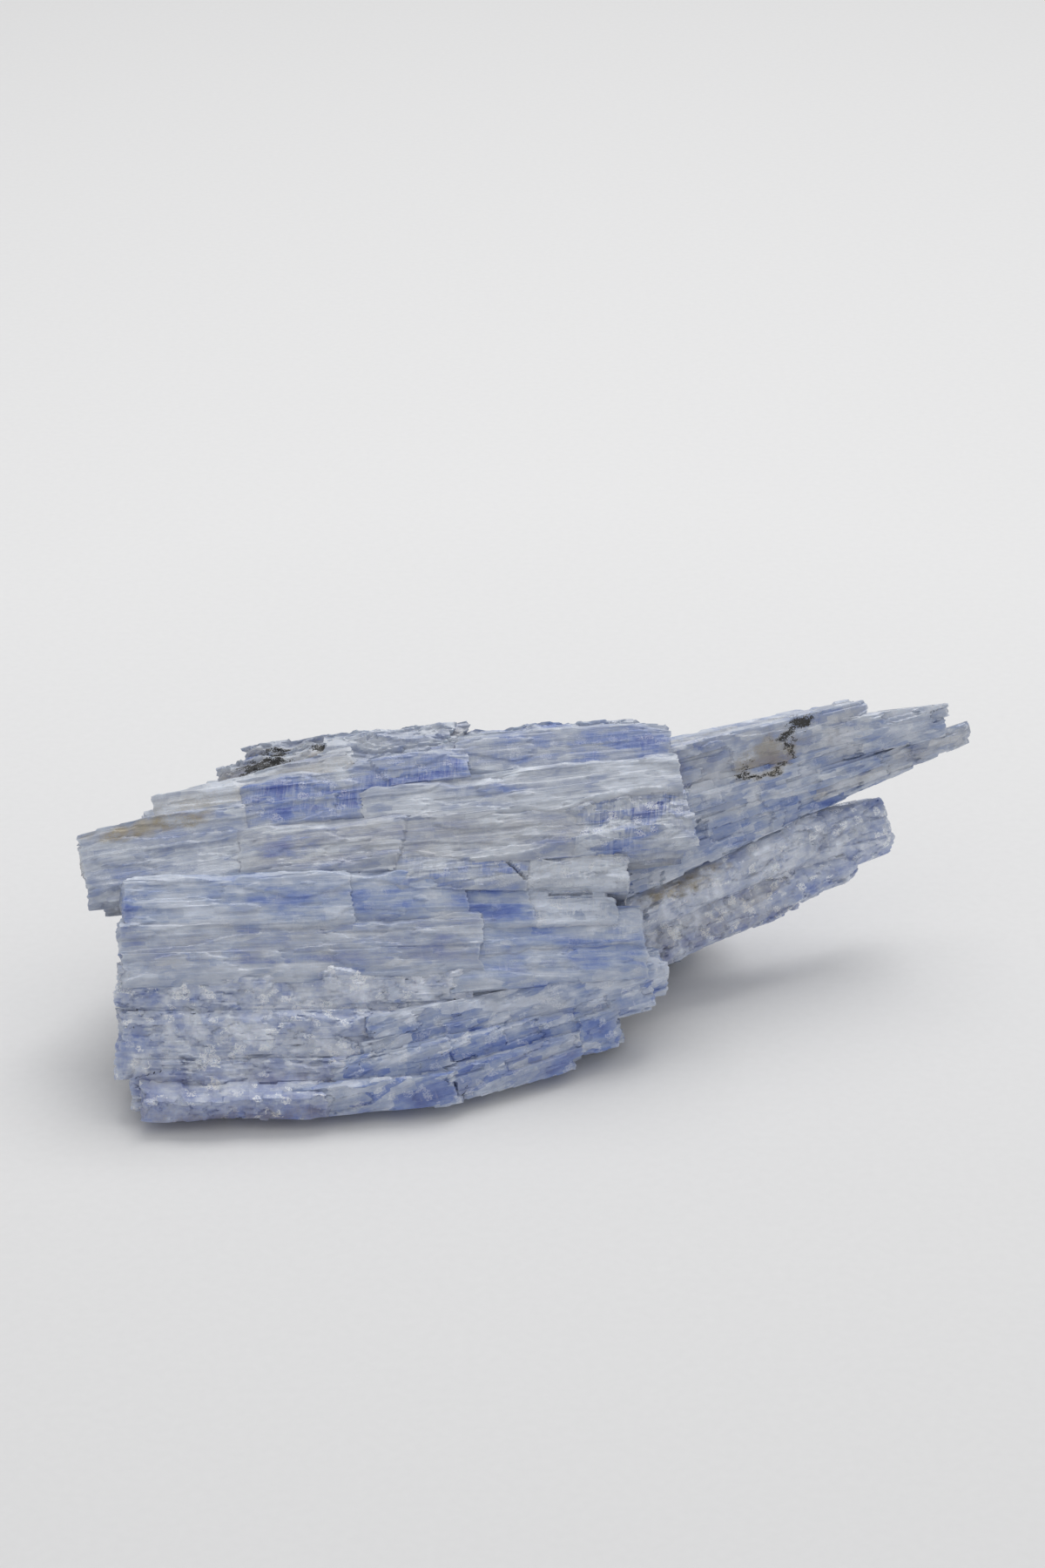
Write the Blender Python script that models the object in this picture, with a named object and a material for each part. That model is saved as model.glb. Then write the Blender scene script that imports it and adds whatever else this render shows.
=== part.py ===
"""Kyanite blade cluster: one intergrown mass of flat, splintery kyanite blades, lying on its side.

Frame: metres, +Z up, the mass rests on Z = 0 and its box is centred over the origin.
+X runs along the blades, towards the end where the mass parts into a wing and a low spray.
Sizes below are in millimetres and are turned into metres by MM.

The mass is made of groups of blades. In each group the broad faces of the blades lean the same way,
and each packet of a group is a bundle of side-by-side blades in layers, running from a start to an
end. All the blades are grown together into one solid, and the underside is trimmed flat to rest on.
"""

import math
import random

import bmesh
import bpy
from mathutils import Matrix, Vector

MM = 0.001
CENTRE = Vector((1.86, 1.81, 0.0))  # middle of the mass before it is moved over the origin
SEED = 7

SKIN = (1.5, 2.3)  # thickness of the face blades, which lie on the packet's bed
OVERLAP = 0.5  # how far neighbouring blades grow into each other
FACE_STEP = 0.22  # how far one blade's face may stand above or below the next
TWIST = 1.6  # degrees that a blade's face may lean away from its packet's
SPLAY = 0.6  # degrees that a blade may point away from its packet
END_SKEW = 0.5  # how far a broken end may slant, as a share of the blade's width or depth
BED_SETBACK = (0.5, 1.9)  # how far the bed's ends stand back from the face blades
BED_HALVES = ((-0.5, 0.1), (-0.1, 0.5))  # the two blades of a bed, as shares of its width
BED_MARGIN = 1.0  # how far the bed reaches past the face blades on both sides, under the next packet

FLOOR_CUT = 30.0  # depth of the block that trims the underside flat
FLOOR_REACH = 200.0  # side of that block, wider than the mass

KYANITE_BLUE = (0.27, 0.35, 0.55, 1.0)
KYANITE_ROUGHNESS = 0.4

# Groups of blades. slope is that of their broad faces: 0 faces up, 90 faces -Y, -90 faces +Y and 180
# faces down. width and length are those of the narrowest and widest, shortest and longest face blade
# between two breaks, and stagger is how far a blade's broken end may stand back from its packet's.
# A free group has nothing beside it for its beds to reach under. A packet may have its own slope.
GROUPS = {
    "front_slab": dict(slope=42, width=(2.8, 5.4), length=(10, 26), stagger=1.3, free=False),
    "front_foot": dict(slope=66, width=(2.2, 4.4), length=(8, 18), stagger=1.8, free=False),
    "front_rise": dict(slope=68, width=(1.6, 3.6), length=(10, 24), stagger=2.4, free=False),
    "top_slab": dict(slope=36, width=(2.8, 5.6), length=(10, 24), stagger=1.4, free=False),
    "back_lump": dict(slope=24, width=(2.2, 4.4), length=(8, 18), stagger=2.0, free=False),
    "wing": dict(slope=67, width=(2.4, 4.8), length=(12, 28), stagger=2.2, free=True),
    "low_spray": dict(slope=70, width=(2.4, 4.8), length=(8, 18), stagger=1.8, free=True),
    "back_brow": dict(slope=-42, width=(2.8, 5.6), length=(11, 28), stagger=2.6, free=False),
    "back_wall": dict(slope=-72, width=(3.4, 6.6), length=(12, 32), stagger=2.6, free=False),
    "wing_back": dict(slope=-104, width=(2.4, 5.0), length=(12, 30), stagger=2.6, free=True),
    "underside": dict(slope=178, width=(5.0, 8.0), length=(14, 34), stagger=2.6, free=False),
}

# Packets of each group. start and end are the ends of the middle line of the packet's broad face,
# width and depth give its section at the start and at the end. nose is how much later the outer blades
# start than the middle ones, and crown how much sooner they end, which rounds the packet's ends.
PACKETS = {
    "front_slab": (
        dict(start=(-46.4, -12.3, 20.6), end=(-18.6, -8.9, 20.0), width=(5.6, 5.6), depth=(4, 5), nose=1.2),
        dict(start=(-21.6, -9.0, 20.2), end=(-5.0, -6.8, 19.5), width=(5.4, 5.6), depth=(5, 5)),
        dict(start=(-8.6, -7.3, 19.2), end=(2.6, -6.0, 18.6), width=(6.6, 6.2), depth=(5, 5)),
        dict(start=(-1.6, -6.6, 18.2), end=(11.0, -4.6, 17.8), width=(6.2, 5.4), depth=(5, 5)),
        dict(start=(-46.0, -16.9, 17.3), end=(-4.0, -11.1, 15.7), width=(6.4, 6.0), depth=(6, 6), nose=1.8),
        dict(start=(-7.6, -10.8, 15.7), end=(14.8, -5.9, 14.9), width=(4.8, 4.2), depth=(6, 5)),
        dict(start=(-8.6, -13.5, 13.7), end=(14.6, -8.0, 12.8), width=(4.4, 3.8), depth=(6, 5)),
    ),
    "front_foot": (
        dict(start=(-46.4, -20.0, 12.4), end=(-4.0, -14.2, 10.5), width=(6.4, 5.4), depth=(6, 7), nose=2.0),
        dict(start=(-46.8, -22.6, 8.2), end=(-14.5, -19.4, 7.6), width=(5.8, 4.6), depth=(7, 7), nose=2.4),
        dict(start=(-44.4, -24.8, 4.3), end=(-18.6, -23.6, 4.1), width=(4.0, 4.0), depth=(8, 8), nose=1.6),
        dict(slope=98, start=(-43.4, -27.5, 1.7), end=(-21.0, -26.9, 1.6), width=(3.2, 3.2), depth=(9, 8)),
    ),
    "front_rise": (
        dict(slope=80, start=(-25.4, -26.8, 1.9), end=(-6, -23.6, 2.1), width=(3.8, 4.2), depth=(9, 8), crown=0.8),
        dict(slope=80, start=(-9.0, -24.2, 2.1), end=(8.6, -14.2, 3.2), width=(4.2, 3.4), depth=(9, 7)),
        dict(start=(-22.0, -24.3, 3.9), end=(-7.0, -21.2, 5.6), width=(3.6, 3.8), depth=(8, 7)),
        dict(start=(-9.6, -21.4, 5.3), end=(13.6, -10.7, 5.3), width=(3.8, 3.6), depth=(8, 7)),
        dict(start=(-19.0, -21.5, 7.4), end=(15.8, -8.6, 8.8), width=(4.2, 4.4), depth=(7, 7)),
        dict(start=(-16.0, -17.0, 9.6), end=(15.2, -7.4, 12.0), width=(4.0, 3.6), depth=(7, 6)),
        dict(start=(6.0, -10.6, 9.6), end=(17.8, -7.4, 9.6), width=(4.0, 3.8), depth=(5, 4), crown=1.6),
    ),
    "top_slab": (
        dict(start=(-51.6, -5.2, 22.0), end=(-30.0, -2.4, 25.0), width=(7.8, 8.2), depth=(4.5, 6), nose=2.6),
        dict(start=(-33.0, -4.6, 23.5), end=(8.0, -0.3, 25.1), width=(5.8, 5.0), depth=(6, 6)),
        dict(start=(-43.6, 0.2, 25.9), end=(-18.6, 6.0, 30.2), width=(3.0, 3.8), depth=(6, 6), nose=2.4),
        dict(start=(-33.0, 0.5, 27.0), end=(-5.4, 5.2, 28.9), width=(6.2, 6.4), depth=(6, 6)),
        dict(start=(-15.6, -5.2, 22.4), end=(1.2, -3.6, 22), width=(4.4, 4.4), depth=(5, 5), nose=3.2, crown=1.4),
        dict(start=(-20.0, 0.5, 26.4), end=(19.4, 5.6, 29.3), width=(4.6, 4.2), depth=(6, 6)),
        dict(start=(-1.6, -2.8, 22.9), end=(13.4, -1.8, 22.2), width=(6.2, 6.0), depth=(6, 6)),
        dict(start=(3.4, 0.0, 25.0), end=(20.2, 2.1, 25.9), width=(6.6, 6.2), depth=(6, 6)),
        dict(start=(-9.0, 7.9, 30.0), end=(18.2, 10.5, 30.4), width=(4.6, 4.8), depth=(6, 6)),
    ),
    "back_lump": (
        dict(start=(-37.4, 7.2, 25.8), end=(-20, 9.6, 29.4), width=(5, 6), depth=(8, 8), nose=1.6, crown=1.6),
        dict(start=(-34.0, 10.4, 28.0), end=(-5.0, 12.8, 30.2), width=(4.2, 5.4), depth=(8, 8), crown=2.0),
        dict(start=(-25.0, 8.8, 29.9), end=(-6.0, 11.0, 30.5), width=(5.4, 5.2), depth=(7, 7), crown=1.6),
        dict(start=(-8.0, 12.2, 29.2), end=(15.4, 13.6, 30.4), width=(4.4, 4.4), depth=(7, 7)),
    ),
    "wing": (
        dict(start=(9.0, 5.6, 26.6), end=(43.0, 25.4, 27.0), width=(5.8, 4.8), depth=(9, 4), crown=0.8),
        dict(start=(34.0, 20.0, 25.9), end=(54.0, 28.8, 25.7), width=(5.4, 3.4), depth=(4.5, 2.6), crown=1.8),
        dict(start=(8.0, 2.6, 21.6), end=(47.0, 25.4, 23.9), width=(5.8, 3.6), depth=(9, 4)),
        dict(start=(9.0, 0.6, 17.0), end=(48.6, 25.8, 22.0), width=(5.8, 2.2), depth=(9, 3)),
        dict(start=(33.0, 16.3, 20.6), end=(56.0, 29.5, 23.7), width=(2.8, 2.2), depth=(3.6, 1.8)),
    ),
    "low_spray": (
        dict(start=(11.0, 0.0, 11.8), end=(38.6, 18.0, 15.9), width=(5.0, 5.4), depth=(9, 5), crown=1.0),
        dict(start=(12.0, -1.0, 7.4), end=(34.6, 13.4, 11.0), width=(4.6, 5.6), depth=(9, 6), crown=1.0),
        dict(start=(25.0, 10.4, 13.8), end=(46.4, 21.8, 14.6), width=(8.4, 6.6), depth=(6, 4.4), crown=2.6),
        dict(start=(24.0, 7.0, 9.0), end=(41.6, 17.4, 11.6), width=(4.2, 3.2), depth=(7, 4), crown=1.0),
    ),
    "back_brow": (
        dict(start=(-37.0, 13.6, 24.6), end=(-6.0, 16.6, 27.2), width=(6.0, 7.0), depth=(7, 7)),
        dict(start=(-9.0, 17.2, 27.0), end=(19.0, 18.6, 26.6), width=(7.0, 6.0), depth=(7, 7)),
        dict(start=(-45.6, 6.4, 22.4), end=(-24.0, 12.6, 23.6), width=(7.0, 8.0), depth=(6, 7)),
    ),
    "back_wall": (
        dict(start=(-41.6, 15.0, 18.0), end=(-4.0, 20.4, 20.4), width=(7.0, 8.0), depth=(8, 8)),
        dict(start=(-7.0, 21.0, 20.4), end=(23.0, 22.0, 19.4), width=(8.0, 7.0), depth=(8, 8)),
        dict(start=(-39.6, 17.4, 11.0), end=(-1.0, 22.6, 12.6), width=(8.0, 8.6), depth=(8, 8)),
        dict(start=(-5.0, 23.4, 12.4), end=(25.0, 23.4, 11.4), width=(8.4, 7.6), depth=(8, 8)),
        dict(start=(-34.0, 19.0, 3.6), end=(4.0, 24.0, 4.6), width=(8.0, 8.0), depth=(9, 9)),
        dict(start=(0.0, 24.2, 4.4), end=(21.0, 23.4, 4.4), width=(8.0, 6.6), depth=(9, 9)),
    ),
    "wing_back": (
        dict(start=(10.0, 17.6, 21.8), end=(42.0, 29.4, 25.8), width=(7.6, 4.6), depth=(6, 3)),
        dict(start=(12.0, 16.6, 17.8), end=(41.0, 27.0, 21.6), width=(6.0, 3.6), depth=(6, 3)),
        dict(start=(14.0, 14.6, 12.0), end=(36.0, 22.0, 14.4), width=(6.6, 6.0), depth=(6, 4)),
    ),
    "underside": (
        dict(start=(-41.0, -16.4, 0.3), end=(-4.0, -12.0, -0.3), width=(9.0, 8.0), depth=(5, 5)),
        dict(start=(-39.4, -6.6, 1.4), end=(8.0, -2.6, 0.8), width=(11.0, 11.0), depth=(7, 7)),
        dict(start=(-37.0, 5.2, 0.5), end=(14.0, 7.6, -0.3), width=(12.0, 10.6), depth=(7, 7)),
        dict(start=(-33.0, 15.0, 0.2), end=(20.0, 17.4, -0.3), width=(9.0, 9.6), depth=(7, 7)),
    ),
}

# Bundles of fat blades that fill the inside of the mass. Only their ends show, on the left.
HEART = (
    dict(slope=30, start=(-47.4, -3.0, 20.8), end=(-16.0, 0.6, 22.6), width=(10, 13), depth=(7, 12)),
    dict(slope=40, start=(-43.6, -12.0, 15.8), end=(8.0, -4.6, 15.2), width=(13, 11), depth=(14, 14)),
    dict(slope=18, start=(-42.0, 4.0, 20.8), end=(14.0, 10.4, 25.4), width=(18, 14), depth=(12, 16)),
    dict(slope=20, start=(-39.0, 5.6, 13.0), end=(18.0, 14.0, 14.0), width=(20, 12), depth=(13, 13)),
    dict(slope=36, start=(-39.0, -1.2, 23.5), end=(11.0, 2.4, 25.2), width=(11, 11), depth=(5, 5)),
)
HEART_BLADE = (5.5, 9.0)  # section of a fat blade, narrowest and widest
HEART_STEP = 5.0  # how far its end may stand back


def grain(start, end, slope):
    """Turn whose axes run along the blades, across their broad face, and out of it."""
    along = (end - start).normalized()
    level = Vector((0, 0, 1)).cross(along).normalized()
    outward = along.cross(level)
    turn = Matrix((along, level, outward)).transposed()
    return turn @ Matrix.Rotation(math.radians(slope), 3, "X")


def shares(whole, limits, chance):
    """Splits a width or length into uneven parts near the two limits, as pairs of shares of it."""
    count = max(1, round(whole / (sum(limits) / 2)))
    parts = [chance.uniform(*limits) for _ in range(count)]
    reached, pairs = 0.0, []
    for part in parts:
        pairs.append((reached / sum(parts), (reached + part) / sum(parts)))
        reached += part
    return pairs


def grow_blade(collection, name, place, length, start_box, end_box, chance):
    """One blade, from its section at the start to the one at the end, with slanting broken ends.

    A section is given as lowest and highest place across the blade, then out of its face.
    """
    shape = bmesh.new()
    bmesh.ops.create_cube(shape, size=1.0, matrix=Matrix.Translation((0.5, 0.5, 0.5)))
    ends = [[vert for vert in shape.verts if round(vert.co.x) == at_end] for at_end in (0, 1)]
    for at_end, (low, high, bottom, top) in enumerate((start_box, end_box)):
        across_skew = chance.uniform(-END_SKEW, END_SKEW) * (high - low)
        depth_skew = chance.uniform(-END_SKEW, END_SKEW) * (top - bottom)
        for vert in ends[at_end]:
            slant = across_skew * (vert.co.y - 0.5) + depth_skew * (vert.co.z - 0.5)
            across = low + (high - low) * vert.co.y
            out = bottom + (top - bottom) * vert.co.z
            vert.co = Vector((length * at_end + slant, across, out))
    bmesh.ops.transform(shape, verts=shape.verts, matrix=place)
    bmesh.ops.triangulate(shape, faces=shape.faces)
    bmesh.ops.recalc_face_normals(shape, faces=shape.faces)
    mesh = bpy.data.meshes.new(name)
    shape.to_mesh(mesh)
    shape.free()
    blade = bpy.data.objects.new(name, mesh)
    blade.hide_render = True
    blade.display_type = "WIRE"
    collection.objects.link(blade)


def leaning(pivot, chance):
    """A small turn away from the packet's grain, about a point of the blade's middle line."""
    tilt = Matrix.Rotation(math.radians(chance.uniform(-TWIST, TWIST)), 3, "X")
    for axis in ("Y", "Z"):
        tilt = tilt @ Matrix.Rotation(math.radians(chance.uniform(-SPLAY, SPLAY)), 3, axis)
    there = Matrix.Translation(pivot)
    return there @ tilt.to_4x4() @ there.inverted()


def packet_place(packet, slope):
    """Place of a packet, with its start as the origin and its grain as the axes, and its length."""
    start, end = Vector(packet["start"]), Vector(packet["end"])
    turn = grain(start, end, slope) * MM
    return Matrix.Translation((start - CENTRE) * MM) @ turn.to_4x4(), (end - start).length


def grow_bed(collection, name, packet, group, skin, chance):
    """Two thick blades side by side under a packet's face blades."""
    place, length = packet_place(packet, packet.get("slope", group["slope"]))
    width, depth = packet["width"], packet["depth"]
    nose, crown = packet.get("nose", 0.0), packet.get("crown", 0.0)
    margin = 0.0 if group["free"] else BED_MARGIN
    for low, high in BED_HALVES:
        back, short = (chance.uniform(*BED_SETBACK) for _ in range(2))
        back += nose * (low + high) ** 2
        short += crown * (low + high) ** 2
        sunk = chance.uniform(0, FACE_STEP)
        boxes = []
        for at in (0, 1):
            reach = width[at] + 2 * margin
            boxes.append((reach * low, reach * high, -depth[at] - sunk, OVERLAP - skin - sunk))
        lean = leaning((length / 2, 0, -skin), chance)
        set_back = Matrix.Translation((back, 0, 0))
        grow_blade(collection, name, place @ set_back @ lean, length - back - short, *boxes, chance)


def grow_faces(collection, name, packet, group, skin, chance):
    """Side-by-side face blades on a packet's bed, broken across here and there."""
    place, length = packet_place(packet, packet.get("slope", group["slope"]))
    width, nose, crown = packet["width"], packet.get("nose", 0.0), packet.get("crown", 0.0)
    for low, high in shares(max(width), group["width"], chance):
        middle = (low + high) / 2 - 0.5
        back, short = (chance.uniform(0, 1) ** 2 * group["stagger"] for _ in range(2))
        back += nose * (2 * middle) ** 2
        short += crown * (2 * middle) ** 2
        run = length - back - short
        for first, last in shares(run, group["length"], chance):
            step = chance.uniform(-FACE_STEP, FACE_STEP)
            boxes = []
            for along in (first, last):
                at = (back + run * along) / length
                wide = width[0] + (width[1] - width[0]) * at
                across = (wide * (low - 0.5) - OVERLAP / 2, wide * (high - 0.5) + OVERLAP / 2)
                boxes.append((*across, step - skin, step))
            stretch = run * (last - first) + (OVERLAP if last < 1 else 0)
            set_back = Matrix.Translation((back + run * first, 0, 0))
            lean = leaning((stretch / 2, width[0] * middle, 0), chance)
            grow_blade(collection, name, place @ set_back @ lean, stretch, *boxes, chance)


def grow_heart(collection, name, packet, chance):
    """A bundle of fat blades inside the mass."""
    place, length = packet_place(packet, packet["slope"])
    width, depth = packet["width"], packet["depth"]
    for top, bottom in shares(max(depth), HEART_BLADE, chance):
        for low, high in shares(max(width), HEART_BLADE, chance):
            back, short = (chance.uniform(0, HEART_STEP) for _ in range(2))
            boxes = []
            for at in (0, 1):
                across = (width[at] * (low - 0.5) - OVERLAP, width[at] * (high - 0.5) + OVERLAP)
                boxes.append((*across, -depth[at] * bottom - OVERLAP, OVERLAP - depth[at] * top))
            lean = leaning((length / 2, 0, 0), chance)
            set_back = Matrix.Translation((back, 0, 0))
            grow_blade(collection, name, place @ set_back @ lean, length - back - short, *boxes, chance)


def kyanite_material():
    material = bpy.data.materials.new("kyanite")
    material.use_nodes = True
    shader = material.node_tree.nodes["Principled BSDF"]
    shader.inputs["Base Color"].default_value = KYANITE_BLUE
    shader.inputs["Roughness"].default_value = KYANITE_ROUGHNESS
    shader.inputs["Metallic"].default_value = 0.0
    return material


def floor_block(collection):
    """The block under Z = 0 that trims the underside flat."""
    bpy.ops.mesh.primitive_cube_add(size=1.0, location=(0, 0, -FLOOR_CUT * MM / 2))
    block = bpy.context.object
    block.name = "floor_cut"
    block.scale = Vector((FLOOR_REACH, FLOOR_REACH, FLOOR_CUT)) * MM
    block.hide_render = True
    block.display_type = "WIRE"
    for owner in list(block.users_collection):
        owner.objects.unlink(block)
    collection.objects.link(block)
    return block


def outer_shell(mesh):
    """The solid without the pockets that blades closed off between them: its largest body alone."""
    shape = bmesh.new()
    shape.from_mesh(mesh)
    bodies, seen = [], set()
    for first in shape.verts:
        if first in seen:
            continue
        body, rim = {first}, [first]
        while rim:
            vert = rim.pop()
            for edge in vert.link_edges:
                other = edge.other_vert(vert)
                if other not in body:
                    body.add(other)
                    rim.append(other)
        seen |= body
        bodies.append(body)
    bodies.sort(key=len)
    pockets = [vert for body in bodies[:-1] for vert in body]
    bmesh.ops.delete(shape, geom=pockets, context="VERTS")
    bmesh.ops.triangulate(shape, faces=shape.faces)
    shell = bpy.data.meshes.new("kyanite_cluster")
    shape.to_mesh(shell)
    shape.free()
    return shell


def build():
    for old in list(bpy.data.objects):
        bpy.data.objects.remove(old)
    model = bpy.data.collections.new("kyanite_blade_cluster")
    blades = bpy.data.collections.new("blades")
    cutters = bpy.data.collections.new("cutters")
    for collection in (model, blades, cutters):
        bpy.context.scene.collection.children.link(collection)
    chance = random.Random(SEED)
    for packet in HEART:
        grow_heart(blades, "heart", packet, chance)
    for name, packets in PACKETS.items():
        for packet in packets:
            skin = chance.uniform(*SKIN)
            grow_bed(blades, name, packet, GROUPS[name], skin, chance)
            grow_faces(blades, name, packet, GROUPS[name], skin, chance)

    seed = blades.objects[0]
    blades.objects.unlink(seed)
    model.objects.link(seed)
    grown = seed.modifiers.new("grown_together", "BOOLEAN")
    grown.operation = "UNION"
    grown.solver = "EXACT"
    grown.operand_type = "COLLECTION"
    grown.collection = blades
    block = floor_block(cutters)
    flat = seed.modifiers.new("flat_underside", "BOOLEAN")
    flat.operation = "DIFFERENCE"
    flat.solver = "EXACT"
    flat.object = block
    bpy.context.view_layer.update()
    graph = bpy.context.evaluated_depsgraph_get()
    whole = bpy.data.meshes.new_from_object(seed.evaluated_get(graph))
    shell = outer_shell(whole)
    for helper in (seed, *blades.objects, block):
        bpy.data.objects.remove(helper)
    shell.materials.append(kyanite_material())
    cluster = bpy.data.objects.new("kyanite_cluster", shell)
    model.objects.link(cluster)


build()
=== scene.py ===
import math
import random

import bmesh
import bpy
import numpy as np
from mathutils import Matrix, Vector


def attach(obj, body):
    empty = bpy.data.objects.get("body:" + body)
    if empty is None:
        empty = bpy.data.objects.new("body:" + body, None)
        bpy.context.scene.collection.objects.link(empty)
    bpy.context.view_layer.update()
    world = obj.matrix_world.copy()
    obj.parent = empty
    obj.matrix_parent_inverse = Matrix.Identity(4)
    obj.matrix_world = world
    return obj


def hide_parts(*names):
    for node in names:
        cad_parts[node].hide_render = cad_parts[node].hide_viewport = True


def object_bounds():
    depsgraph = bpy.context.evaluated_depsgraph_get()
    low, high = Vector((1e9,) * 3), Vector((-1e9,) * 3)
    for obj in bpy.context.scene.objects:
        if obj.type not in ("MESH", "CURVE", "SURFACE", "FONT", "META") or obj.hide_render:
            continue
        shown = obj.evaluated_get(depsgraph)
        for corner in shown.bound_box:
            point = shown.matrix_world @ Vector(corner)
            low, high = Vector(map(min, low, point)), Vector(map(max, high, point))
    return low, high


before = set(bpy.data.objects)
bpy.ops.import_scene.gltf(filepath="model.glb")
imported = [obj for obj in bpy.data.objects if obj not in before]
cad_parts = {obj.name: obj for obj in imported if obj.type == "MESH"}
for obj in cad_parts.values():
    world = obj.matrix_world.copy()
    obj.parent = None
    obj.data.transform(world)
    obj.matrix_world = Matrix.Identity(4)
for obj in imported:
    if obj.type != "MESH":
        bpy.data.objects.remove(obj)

cad_box = [list(corner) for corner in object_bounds()]

# The heart of the mass. Fat kyanite blades, grown together, fill the inside, and their broken ends
# show at the left. Kyanite splits along its length into flat leaves and laths, and parts across it,
# so every face here is a stair of low ledges, and every end is ragged.
MM = 0.001  # all lengths are in millimetres until they are multiplied by this
CENTRE = Vector((1.86, 1.81, 0.0))  # middle of the mass before it was moved over the origin

# A packet of blades runs from start to end along the middle of its face, and has a width across that
# face and a depth behind it at either end. The slope turns the face about its run.
HEART = (
    dict(slope=30, start=(-47.4, -3.0, 20.8), end=(-16.0, 0.6, 22.6), width=(10, 13), depth=(7, 12)),
    dict(slope=40, start=(-43.6, -12.0, 15.8), end=(8.0, -4.6, 15.2), width=(13, 11), depth=(14, 14)),
    dict(slope=18, start=(-42.0, 4.0, 20.8), end=(14.0, 10.4, 25.4), width=(18, 14), depth=(12, 16)),
    dict(slope=20, start=(-39.0, 5.6, 13.0), end=(18.0, 14.0, 14.0), width=(20, 12), depth=(13, 13)),
    dict(slope=36, start=(-39.0, -1.2, 23.5), end=(11.0, 2.4, 25.2), width=(11, 11), depth=(5, 5)),
)
HEART_BLADE = (5.5, 9.0)  # section of a fat blade, narrowest and widest
HEART_STEP = 5.0  # how far its end may stand back
HEART_TINTS = ((0.44, 0.48, 0.56), (0.27, 0.33, 0.45), (0.15, 0.21, 0.40), (0.06, 0.10, 0.27))

# How a group is cleaved: its mesh's cells, how ragged its ends and frayed its ledges are, the ledges'
# height, number, length and width, how crushed it is, how far its sides are split in and its foot is
# hollowed out, and its flakes by length, width, depth and share.
HEART_CUT = dict(
    cell=(1.0, 0.5, 0.6), ragged=1.2, fray=0.8, step=0.2, levels=2.4, terrace=(12, 3), crumble=0.3,
    ledge=0.5, undercut=0.0, flakes=((8, 2.4, 0.3, 0.25),)
)
OVERLAP = 0.5  # how far neighbouring blades grow into each other
chance = random.Random(7)  # draws the blades as the solid's are drawn


def shares(whole, limits):
    """Splits a width or length into uneven parts near the two limits, as pairs of shares of it."""
    count = max(1, round(whole / (sum(limits) / 2)))
    parts = [chance.uniform(*limits) for _ in range(count)]
    reached, pairs = 0.0, []
    for part in parts:
        pairs.append((reached / sum(parts), (reached + part) / sum(parts)))
        reached += part
    return pairs


def packet_place(packet, slope):
    """Place of a packet, with its start as the origin and its grain as the axes, and its length."""
    start, end = Vector(packet["start"]), Vector(packet["end"])
    along = (end - start).normalized()
    level = Vector((0, 0, 1)).cross(along).normalized()
    turn = Matrix((along, level, along.cross(level))).transposed()
    turn = turn @ Matrix.Rotation(math.radians(slope), 3, "X") * MM
    return Matrix.Translation((start - CENTRE) * MM) @ turn.to_4x4(), (end - start).length


TWIST = 1.6  # degrees that a blade's face may lean away from its packet's
SPLAY = 0.6  # degrees that a blade may point away from its packet


def leaning(pivot):
    """A small turn away from the packet's grain, about a point of the blade's middle line."""
    tilt = Matrix.Rotation(math.radians(chance.uniform(-TWIST, TWIST)), 3, "X")
    for axis in ("Y", "Z"):
        tilt = tilt @ Matrix.Rotation(math.radians(chance.uniform(-SPLAY, SPLAY)), 3, axis)
    there = Matrix.Translation(pivot)
    return there @ tilt.to_4x4() @ there.inverted()


END_SKEW = 0.5  # how far a broken end may slant, as a share of the blade's width or depth


def end_skews(width, depth):
    """How far the broken start and end of a blade slant, across it and out of its face."""
    sizes = ((width[at], depth[at]) for at in (0, 1))
    return [[chance.uniform(-END_SKEW, END_SKEW) * size for size in pair] for pair in sizes]


SWELLS = 128  # side of the table of random numbers that all relief is read from
cleave = np.random.default_rng(11)  # draws how the blades split
table = cleave.uniform(-1.0, 1.0, (SWELLS, SWELLS))


def swell(first, second):
    """Smooth random rise and fall between -1 and 1. A place is given in two directions, in swells."""
    column, row = np.floor(first).astype(int), np.floor(second).astype(int)
    ease, side_ease = (share * share * (3.0 - 2.0 * share) for share in (first - column, second - row))
    column, row, next_column, next_row = (at % SWELLS for at in (column, row, column + 1, row + 1))
    near = table[column, row] + (table[next_column, row] - table[column, row]) * ease
    far = table[column, next_row] + (table[next_column, next_row] - table[column, next_row]) * ease
    return near + (far - near) * side_ease


def flake(first, second):
    """A random number from 0 to 1 for the flake at a place: lanes, each broken across at its own marks."""
    lane = np.floor(second).astype(int)
    stretch = np.floor(first + 9.0 * table[lane % SWELLS, 5]).astype(int)
    return 0.5 + 0.5 * table[stretch % SWELLS, (lane * 37 + stretch * 11) % SWELLS]


# Where blades are crushed: the size and tilt of the lumps, how far they heave, and the chips on them.
CRUSHED = dict(lump=(2.9, 1.7), tilt=0.7, heave=1.1, chip=(1.5, 0.6), chip_height=0.45)


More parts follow.
